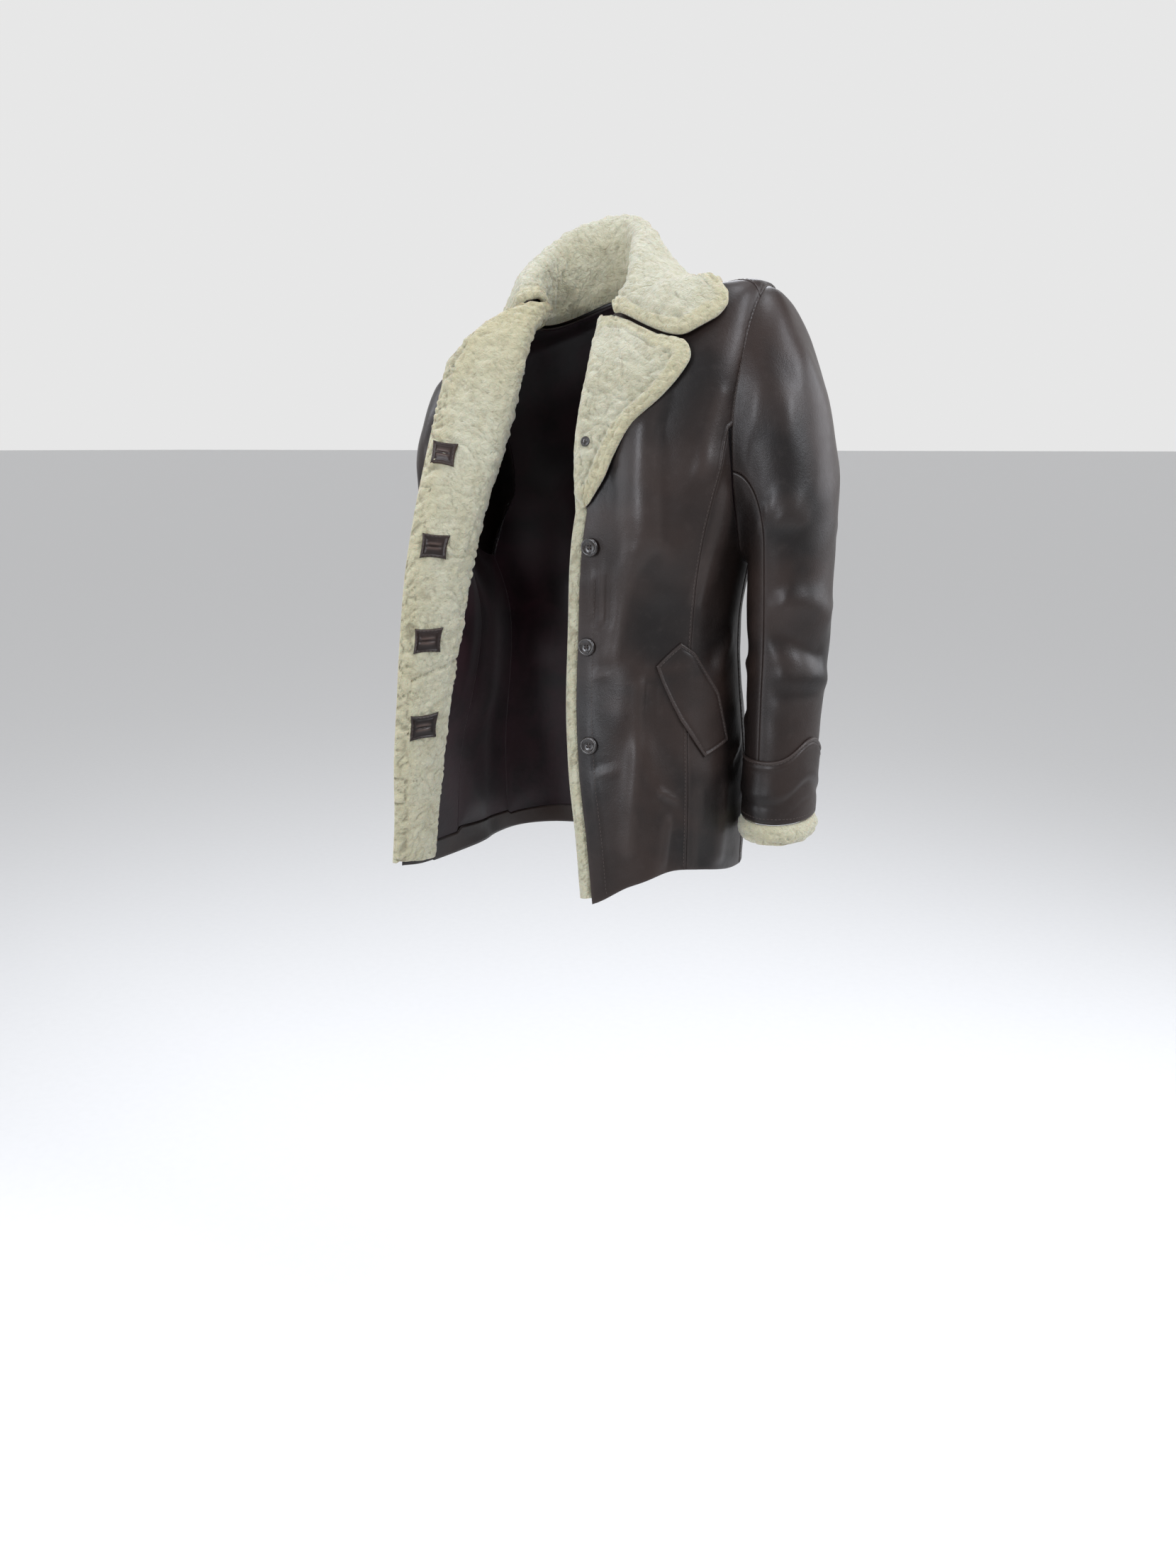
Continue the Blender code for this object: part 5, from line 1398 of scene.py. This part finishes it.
CAP_LENGTH = 0.130
PUCKERS = 26
CAP_PUCKER = 0.0009
for word, side in SIDES:
    cap_rows = spread(CAP_LENGTH, SLEEVE_ROW_STEP, end=False)[:-1]
    arm_rows = 1 + spread(SLEEVE_LENGTH, SLEEVE_ROW_STEP, start=False)
    rows = np.concatenate([cap_rows, arm_rows])
    for name, start, end, width, sewn in (
        ("top", FRONT_SLEEVE_SEAM + SLEEVE_SLIT, BACK_SLEEVE_SEAM - SLEEVE_SLIT, TOP_SLEEVE_WIDTH,
         (SEAM_ROW,)),
        ("under", BACK_SLEEVE_SEAM, FRONT_SLEEVE_SEAM + 2 * math.pi, UNDER_SLEEVE_WIDTH, ()),
    ):
        turns = start + (end - start) * spread(width, SLEEVE_STEP)
        turn, place = np.meshgrid(turns, rows)
        place = place + np.clip(1 - place, 0, 1) * sleeve_start(turn, side)
        inner = sleeve(turn, place, side)
        normal = sleeve_outward(turn, place, side)
        down = np.where(place < 1, (place - 1) * CAP_LENGTH, (place - 1) * SLEEVE_LENGTH)
        creases = turned_folds(SLEEVE_CREASES, turn, down, 0.8)
        from_hole = edge_distances(inner)["bottom"]
        upper = np.clip(np.cos(turn), 0, 1)
        wave = np.sin(turn * PUCKERS + 2.0 * ripple(inner, 0.03, 84))
        near_hole = np.exp(-from_hole / 0.012) * smooth(from_hole / 0.004)
        creases = creases + CAP_PUCKER * upper * wave * near_hole
        height, wear = hide_height(inner, sewn, creases, 81 + side)
        label = "sleeve_" + name + "_hide_" + word
        node = "sleeve_" + name + "_" + word
        make_sewn(label, node, inner, normal, height, wear, sewn, "hung")

# ---- cuffs --------------------------------------------------------------------------------------
# A turned-back leather cuff with a piped, pointed top edge, and below it the shearling that lines
# the sleeve's end and rolls out as a cream trim.

CUFF_TOP = 1.775
CUFF_POINT = 0.075
CUFF_POINT_AT = math.radians(-20)
CUFF_END = 1.995
CUFF_HEIGHTS = (LEATHER + 0.0012, LEATHER + 0.0028)
CUFF_LENGTH = 0.080
CUFF_COLUMNS = 90
CUFF_SEWN = (Sewn("bottom", 0.0052, 0, 1, 0), Sewn("top", 0.0065, 0, 1, 0))
THINNEST = 0.0003
# The piping along the top: how far down it lies, its width and its height.
Piping = namedtuple("Piping", "down width height")
CUFF_PIPING = rows_of(Piping,
    (0.0022, 0.0016, 0.0008), (0.0052, 0.0014, -0.0008), (0.0088, 0.002, 0.0006),
    (0.042, 0.0075, 0.0011), (0.053, 0.005, -0.001), (0.0735, 0.0016, -0.0006))
# The trim's section: how far below the sleeve's end, and its inner and outer faces.
Trim = namedtuple("Trim", "drop inner outer")
TRIM = rows_of(Trim,
    (-0.004, 0.0004, 0.003), (0.0015, -0.001, 0.006), (0.0085, -0.0024, 0.0068),
    (0.015, -0.0024, 0.0058), (0.02, -0.0004, 0.0022))
TRIM_DROP = 0.0045
TRIM_ROWS = 20
TRIM_COLUMNS = 130

for word, side in SIDES:
    turns = np.linspace(0, 2 * math.pi, CUFF_COLUMNS, endpoint=False)
    near = np.cos((turns - CUFF_POINT_AT) / 2) ** 24
    top = CUFF_TOP - CUFF_POINT * near
    share = spread(CUFF_LENGTH, 0.0022)[:, None]
    place = top[None] * (1 - share) + CUFF_END * share
    turn = np.broadcast_to(turns, place.shape)
    middle = sleeve(turn, place, side)
    normal = sleeve_outward(turn, place, side)
    inner = middle + normal * CUFF_HEIGHTS[0]
    down, up = (edge_distances(inner)[edge] for edge in ("bottom", "top"))
    height = (CUFF_HEIGHTS[1] - CUFF_HEIGHTS[0]) * rounded(np.minimum(down, up), EDGE_ROLL)
    for pipe in CUFF_PIPING:
        height = height + pipe.height * hump(down, pipe.down, pipe.width)
    height = height + 0.0004 * ripple(inner, 0.020, 91) * smooth(down / 0.012)
    wear = hump(down, 0.0022, 0.0016) + 0.3 * np.exp(-up / 0.003)
    make_sewn("cuff_hide_" + word, "cuff_" + word, inner, normal, np.maximum(height, THINNEST), wear,
              CUFF_SEWN, "folded", "cuff_thread_" + word, ["sleeve_top_hide_" + word], tube=True)

    turns = np.linspace(0, 2 * math.pi, TRIM_COLUMNS, endpoint=False)
    shares = np.sin(np.linspace(-math.pi / 2, math.pi / 2, TRIM_ROWS)) * 0.5 + 0.5
    drops = TRIM[0].drop + (TRIM[-1].drop - TRIM[0].drop) * shares
    turn = np.broadcast_to(turns, (TRIM_ROWS, len(turns)))
    end = sleeve(turn, np.full(turn.shape, 2.0), side)
    out = sleeve_outward(turn, np.full(turn.shape, 1.99), side)
    hang = end - np.array([0.0, 0.0, 1.0]) * (drops + TRIM_DROP)[:, None, None]
    skin = hang + out * table_curve(TRIM, "inner", "drop")(drops)[:, None, None]
    fur = hang + out * table_curve(TRIM, "outer", "drop")(drops)[:, None, None]
    shown = smooth(drops / 0.003)[:, None]
    made = make_fleece("cuff_fleece_" + word, "cuff_trim_" + word, skin, fur, shown, 0.25, 95,
                       tube=True)
    declare_cloth(made, skin)

# ---- pocket welts -------------------------------------------------------------------------------
# A slanting welt on each front, cut as a long shield, turned in all round and topstitched, with a
# piped ridge along both long edges.

WELT_UPPER = (Place(0.297, -33.5), Place(0.285, -27.5), Place(0.236, -16.0), Place(0.180, -12.0))
WELT_LOWER = (Place(0.272, -45.0), Place(0.254, -42.5), Place(0.212, -35.5), Place(0.168, -26.0))
WELT_HEIGHTS = (LEATHER + 0.0016, LEATHER + 0.0032)
WELT_LENGTH = 0.135
WELT_WIDTH = 0.050
WELT_STEP = 0.0035


def all_round(offset):
    """Topstitching beside all four edges."""
    return [Sewn(edge, offset, 0, 1, 0) for edge in ("first", "last", "bottom", "top")]


for word, side in SIDES:
    shares = spread(WELT_LENGTH, WELT_STEP)
    across = spread(WELT_WIDTH, WELT_STEP)
    edges = (WELT_LOWER, WELT_UPPER)
    lower, upper = (along(np.array(edge)[:, ::-1], shares)[:, None] for edge in edges)
    around, level = grid_of(lower * (1 - across[:, None]) + upper * across[:, None])
    inner = lifted(around, level, side, WELT_HEIGHTS[0])
    normal = outward(around, level, side)
    nearest = nearest_edge(inner)
    height = (WELT_HEIGHTS[1] - WELT_HEIGHTS[0]) * rounded(nearest, EDGE_ROLL)
    height = height + 0.0007 * hump(nearest, 0.0022, 0.0016)
    height = height - 0.0006 * hump(nearest, STITCH_OFFSET, 0.0011)
    height = height + 0.0005 * ripple(inner, 0.025, 97) * smooth(nearest / 0.01)
    wear = 0.75 * hump(nearest, 0.0020, 0.0016)
    make_sewn("welt_hide_" + word, "pocket_welt_" + word, inner, normal, np.maximum(height, THINNEST),
              wear, all_round(STITCH_OFFSET), "laid", "welt_thread_" + word, ["front_hide_" + word])

# ---- buttons ------------------------------------------------------------------------------------
# Three dark horn buttons, 21 mm, with a turned rim and four holes, sewn on with crossed thread, and
# the small button that backs the top one on the lapel's wool.

BUTTON_RADIUS = 0.0105
BACKING_RADIUS = 0.0055
BUTTONS = (Place(0.406, -72.0), Place(0.293, -78.3), Place(0.187, -76.0))
BUTTON_BACKING = Place(0.521, -69.0)
Turned = namedtuple("Turned", "share height")
BUTTON_FACE = rows_of(Turned,
    (0, 0.0021), (0.4, 0.0022), (0.56, 0.0027), (0.68, 0.0037), (0.82, 0.0041), (0.94, 0.0034),
    (1, 0.0021))
BUTTON_FOOT = ((0.97, 0.0012), (0.86, 0.0005), (0.55, 0.0001))
BUTTON_SIDES = 56
HOLE_AT = 0.0021
HOLE_RADIUS = 0.00085


def horn_finish():
    """Polished dark horn with faint lighter streaks."""
    made, shader, place = new_finish("dark_horn", {"Specular IOR Level": 0.5, "Coat Roughness": 0.15,
                                                   "Coat Weight": 0.3})
    streaks = place.noise(0.0040, 3.0, 2.0)
    base = streaks.between(0.45, 0.75).blend(colour(0.012, 0.010, 0.010), colour(0.045, 0.034, 0.028))
    feed(shader, Base_Color=base, Roughness=0.22 + streaks * 0.16,
         Normal=place.noise(0.0012, 2.0).bumped(0.15, 0.0002))
    return made


DARK_HORN = horn_finish()


def make_button(name, node, spot, lift, radius):
    """A four-hole button, its face dished, as a turned form with its holes pressed in."""
    base = lifted(spot.around, spot.level, LEFT, lift)
    axis = outward(spot.around, spot.level, LEFT)
    side_way = unit(np.cross(axis, np.array([0.0, 0.0, 1.0])))
    up_way = np.cross(side_way, axis)
    shares = np.concatenate([np.linspace(0.02, 0.5, 14), np.linspace(0.54, 1.0, 12)])
    face = table_curve(BUTTON_FACE, "height", "share")(shares)
    rings = list(zip(shares, face)) + list(BUTTON_FOOT)
    angles = np.arange(BUTTON_SIDES) * 2 * math.pi / BUTTON_SIDES
    spokes = side_way * np.cos(angles)[:, None] + up_way * np.sin(angles)[:, None]
    scale = radius / BUTTON_RADIUS
    points = []
    for share, height in rings:
        flat = np.stack([np.cos(angles), np.sin(angles)], -1) * share * BUTTON_RADIUS
        heights = np.full(BUTTON_SIDES, height)
        for corner in (45, 135, 225, 315):
            turn = math.radians(corner)
            hole = np.array([math.cos(turn), math.sin(turn)]) * HOLE_AT
            away = np.linalg.norm(flat - hole, axis=-1)
            heights = heights - 0.0013 * np.exp(-((away / HOLE_RADIUS) ** 4))
        points.append(base + spokes * share * radius + axis * (heights * scale)[:, None])
    points = np.concatenate(points + [base[None] + axis * face[0] * scale, base[None] + axis * 0.0001])
    cells = np.arange(len(rings) * BUTTON_SIDES).reshape(len(rings), BUTTON_SIDES)
    cells = np.concatenate([cells, cells[:, :1]], 1)
    quads = np.stack([cells[:-1, :-1], cells[1:, :-1], cells[1:, 1:], cells[:-1, 1:]], -1)
    centre = len(points) - 2
    faces = quads.reshape(-1, 4).tolist()
    faces += [[centre, a, b] for a, b in zip(cells[0, :-1].tolist(), cells[0, 1:].tolist())]
    faces += [[centre + 1, b, a] for a, b in zip(cells[-1, :-1].tolist(), cells[-1, 1:].tolist())]
    made = make_mesh(name, points, faces, DARK_HORN)
    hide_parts(node)
    thread = bpy.data.curves.new(name + "_thread", "CURVE")
    thread.dimensions = "3D"
    thread.bevel_depth = 0.00045 * scale
    thread.bevel_resolution = 2
    thread.use_fill_caps = True
    run = np.linspace(-1, 1, 9)[:, None]
    lift = (0.0019 + 0.0009 * (1 - run**2)) * scale
    for turn in (math.radians(45), math.radians(135)):
        way = side_way * math.cos(turn) + up_way * math.sin(turn)
        spline = thread.splines.new("POLY")
        spline.points.add(len(run) - 1)
        for point, at in zip(spline.points, base + way * run * HOLE_AT * scale * 1.05 + axis * lift):
            point.co = (*at, 1)
    thread.materials.append(BROWN_THREAD)
    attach(placed(name + "_thread", thread), "root")


for number, spot in enumerate(BUTTONS, start=2):
    name = "button_" + str(number)
    make_button("horn_" + name, name, spot, LEATHER + 0.0010, BUTTON_RADIUS)
on_wool = LAPEL_FUR[1] + 0.0002
make_button("horn_backing_button", "button_1_backing", BUTTON_BACKING, on_wool, BACKING_RADIUS)

# ---- buttonhole patches -------------------------------------------------------------------------
# Four leather patches on the wool of the right facing, each backing a buttonhole that is bound like
# a pair of lips. They are pulled in a little between their corners and sewn down all round.

PATCHES = (Place(0.513, -75.0), Place(0.406, -72.0), Place(0.296, -69.5), Place(0.198, -67.5))
PATCH_LENGTH = 0.032
PATCH_HEIGHT = 0.029
PATCH_STEP = 0.0012
PATCH_STITCH = 0.0032
PATCH_DEEP = FACING_GAP + FUR + 0.0010
SLIT_LENGTH = 0.0200
# The patches' pale worn colour is rub wear and also a painted highlight along the lips of each
# buttonhole.
PATCH_HIDE = hide_finish(
    "patch_hide", colour(0.0080, 0.0050, 0.0045), colour(0.0180, 0.0095, 0.0075),
    colour(0.12, 0.080, 0.066), 0.38,
)

for number, spot in enumerate(PATCHES, start=1):
    reach = PATCH_LENGTH / 2 * degrees_per_metre(spot.around, spot.level, RIGHT)
    u, v = (spread(length, PATCH_STEP) for length in (PATCH_LENGTH, PATCH_HEIGHT))
    across, up = np.meshgrid(u * 2 - 1, v * 2 - 1)
    pinch = 1 - 0.10 * (1 - across**2)
    narrow = 1 - 0.09 * (1 - up**2)
    around = spot.around + across * reach * narrow
    level = spot.level + up * PATCH_HEIGHT / 2 * pinch
    skin = lifted(around, level, RIGHT, -PATCH_DEEP)
    normal = -outward(around, level, RIGHT)
    nearest = nearest_edge(skin)
    x = across * PATCH_LENGTH / 2
    y = up * PATCH_HEIGHT / 2
    lens = np.sqrt(np.clip(1 - (x / (SLIT_LENGTH / 2)) ** 2, 0, 1))
    lips = lens * hump(np.abs(y), 0.0029, 0.0016) * 0.0015
    mouth = lens * hump(y, 0, 0.0012) * 0.0016
    height = 0.0020 * rounded(nearest, 0.0016) + lips - mouth
    height = height - 0.0009 * hump(nearest, 0.0040, 0.0012)
    height = height + 0.0009 * hump(nearest, 0.0019, 0.0011)
    height = np.maximum(height + 0.0002 * ripple(skin, 0.008, 99 + number), 0.0002)
    # The lips take the pale worn colour as rub wear and as a painted highlight; the rim is lighter from
    # wear.
    wear = np.clip(lips / 0.0012, 0, 1) * 0.8 + 0.3 * np.exp(-nearest / 0.002)
    make_sewn("patch_hide_" + str(number), "buttonhole_patch_" + str(number), skin, normal, height,
              wear, all_round(PATCH_STITCH), "laid", "patch_thread_" + str(number),
              ["facing_fleece_right"], finish=PATCH_HIDE)

# ---- floor, light and camera --------------------------------------------------------------------
# A plain pale studio: a wide matt floor, a pale surround and seven soft boxes that no camera sees.

FLOOR_Z = -1.58
FLOOR_HALF = 400.0
FLOOR_GREYS = (0.72, 0.75)
LAMP_COLOUR = (0.95, 0.98, 1.05)
LIT_POINT = (0.05, -0.03, -0.25)
CAMERA_TURN = math.radians(27)
CAMERA_DOWN = math.radians(16)
CAMERA_AWAY = 1.46
CAMERA_ASIDE = -0.015
CAMERA_Z = -0.146
FRAME_HEIGHT_PIXELS = 2212
FOCAL_PIXELS = 1661
SENSOR = 36.0
SURROUND = (0.80, 0.80, 0.80)
FRONT_ROOM = (0.54, 0.54, 0.55)
UPPER_WALL = (0.12, 0.12, 0.125)
CEILING = (1.15, 1.16, 1.18)

floor_finish, floor_shader, place = new_finish("pale_floor", {"Specular IOR Level": 0.2})
speckle = place.noise(0.02, 2.0)
greys = [colour(grey, grey, grey) for grey in FLOOR_GREYS]
feed(floor_shader, Base_Color=speckle.blend(*greys), Roughness=0.75 + speckle * 0.1)
mesh = bpy.data.meshes.new("studio_floor")
corners = [(x * FLOOR_HALF, y * FLOOR_HALF, FLOOR_Z) for x, y in ((-1, -1), (1, -1), (1, 1), (-1, 1))]
mesh.from_pydata(corners, [], [(0, 1, 2, 3)])
mesh.materials.append(floor_finish)
placed("studio_floor", mesh)

world = bpy.data.worlds.new("pale_surround")
bpy.context.scene.world = world
world.use_nodes = True
way = Wire(world.node_tree.nodes.new("ShaderNodeTexCoord").outputs["Generated"])
height = way.node("ShaderNodeSeparateXYZ", {}, {"Vector": way}, "Z")
depth = way.node("ShaderNodeSeparateXYZ", {}, {"Vector": way}, "Y")
room = depth.between(-0.1, -0.6).blend(colour(*SURROUND), colour(*FRONT_ROOM))
above = height.between(0.44, 0.58)
ceiling = height.between(0.70, 0.86)
glow = above.blend(room, colour(*UPPER_WALL))
glow = ceiling.blend(glow, colour(*CEILING))
backdrop = world.node_tree.nodes["Background"]
world.node_tree.links.new(glow.socket, backdrop.inputs["Color"])

SoftBox = namedtuple("SoftBox", "name turn rise away width length power")
for box in (
    SoftBox("front_strip", -8.0, 12.0, 2.6, 0.55, 1.30, 30.0),
    SoftBox("front_fill", -45.0, 2.0, 2.6, 0.80, 1.20, 15.0),
    SoftBox("left_strip", 84.0, 32.0, 2.5, 0.70, 1.40, 38.0),
    SoftBox("left_wall", 128.0, 13.0, 2.5, 1.60, 1.40, 21.0),
    SoftBox("right_strip", -80.0, 36.0, 2.5, 0.70, 1.30, 20.0),
    SoftBox("top_box", 70.0, 74.0, 2.4, 0.90, 0.90, 20.0),
    SoftBox("back_strip", 196.0, 40.0, 2.6, 0.80, 1.30, 16.0),
):
    lamp = bpy.data.lights.new(box.name, "AREA")
    lamp.shape = "RECTANGLE"
    lamp.size = box.width
    lamp.size_y = box.length
    lamp.energy = box.power
    lamp.color = LAMP_COLOUR
    lit = placed(box.name, lamp)
    turn = math.radians(box.turn)
    rise = math.radians(box.rise)
    way = np.array([math.sin(turn) * math.cos(rise), -math.cos(turn) * math.cos(rise), math.sin(rise)])
    lit.location = way * box.away + LIT_POINT
    lit.rotation_euler = (math.pi / 2 - rise, 0, turn)
    lit.visible_camera = False

lens = bpy.data.cameras.new("camera")
lens.sensor_width = SENSOR
lens.lens = SENSOR * FOCAL_PIXELS / FRAME_HEIGHT_PIXELS
camera = placed("camera", lens)
ahead = np.array([-math.sin(CAMERA_TURN), math.cos(CAMERA_TURN), 0.0])
aside = np.array([math.cos(CAMERA_TURN), math.sin(CAMERA_TURN), 0.0])
camera.location = -CAMERA_AWAY * ahead + CAMERA_ASIDE * aside + np.array([0.0, 0.0, CAMERA_Z])
camera.rotation_euler = (math.pi / 2 - CAMERA_DOWN, 0.0, CAMERA_TURN)
bpy.context.scene.camera = camera
bpy.context.scene.view_settings.view_transform = "Standard"
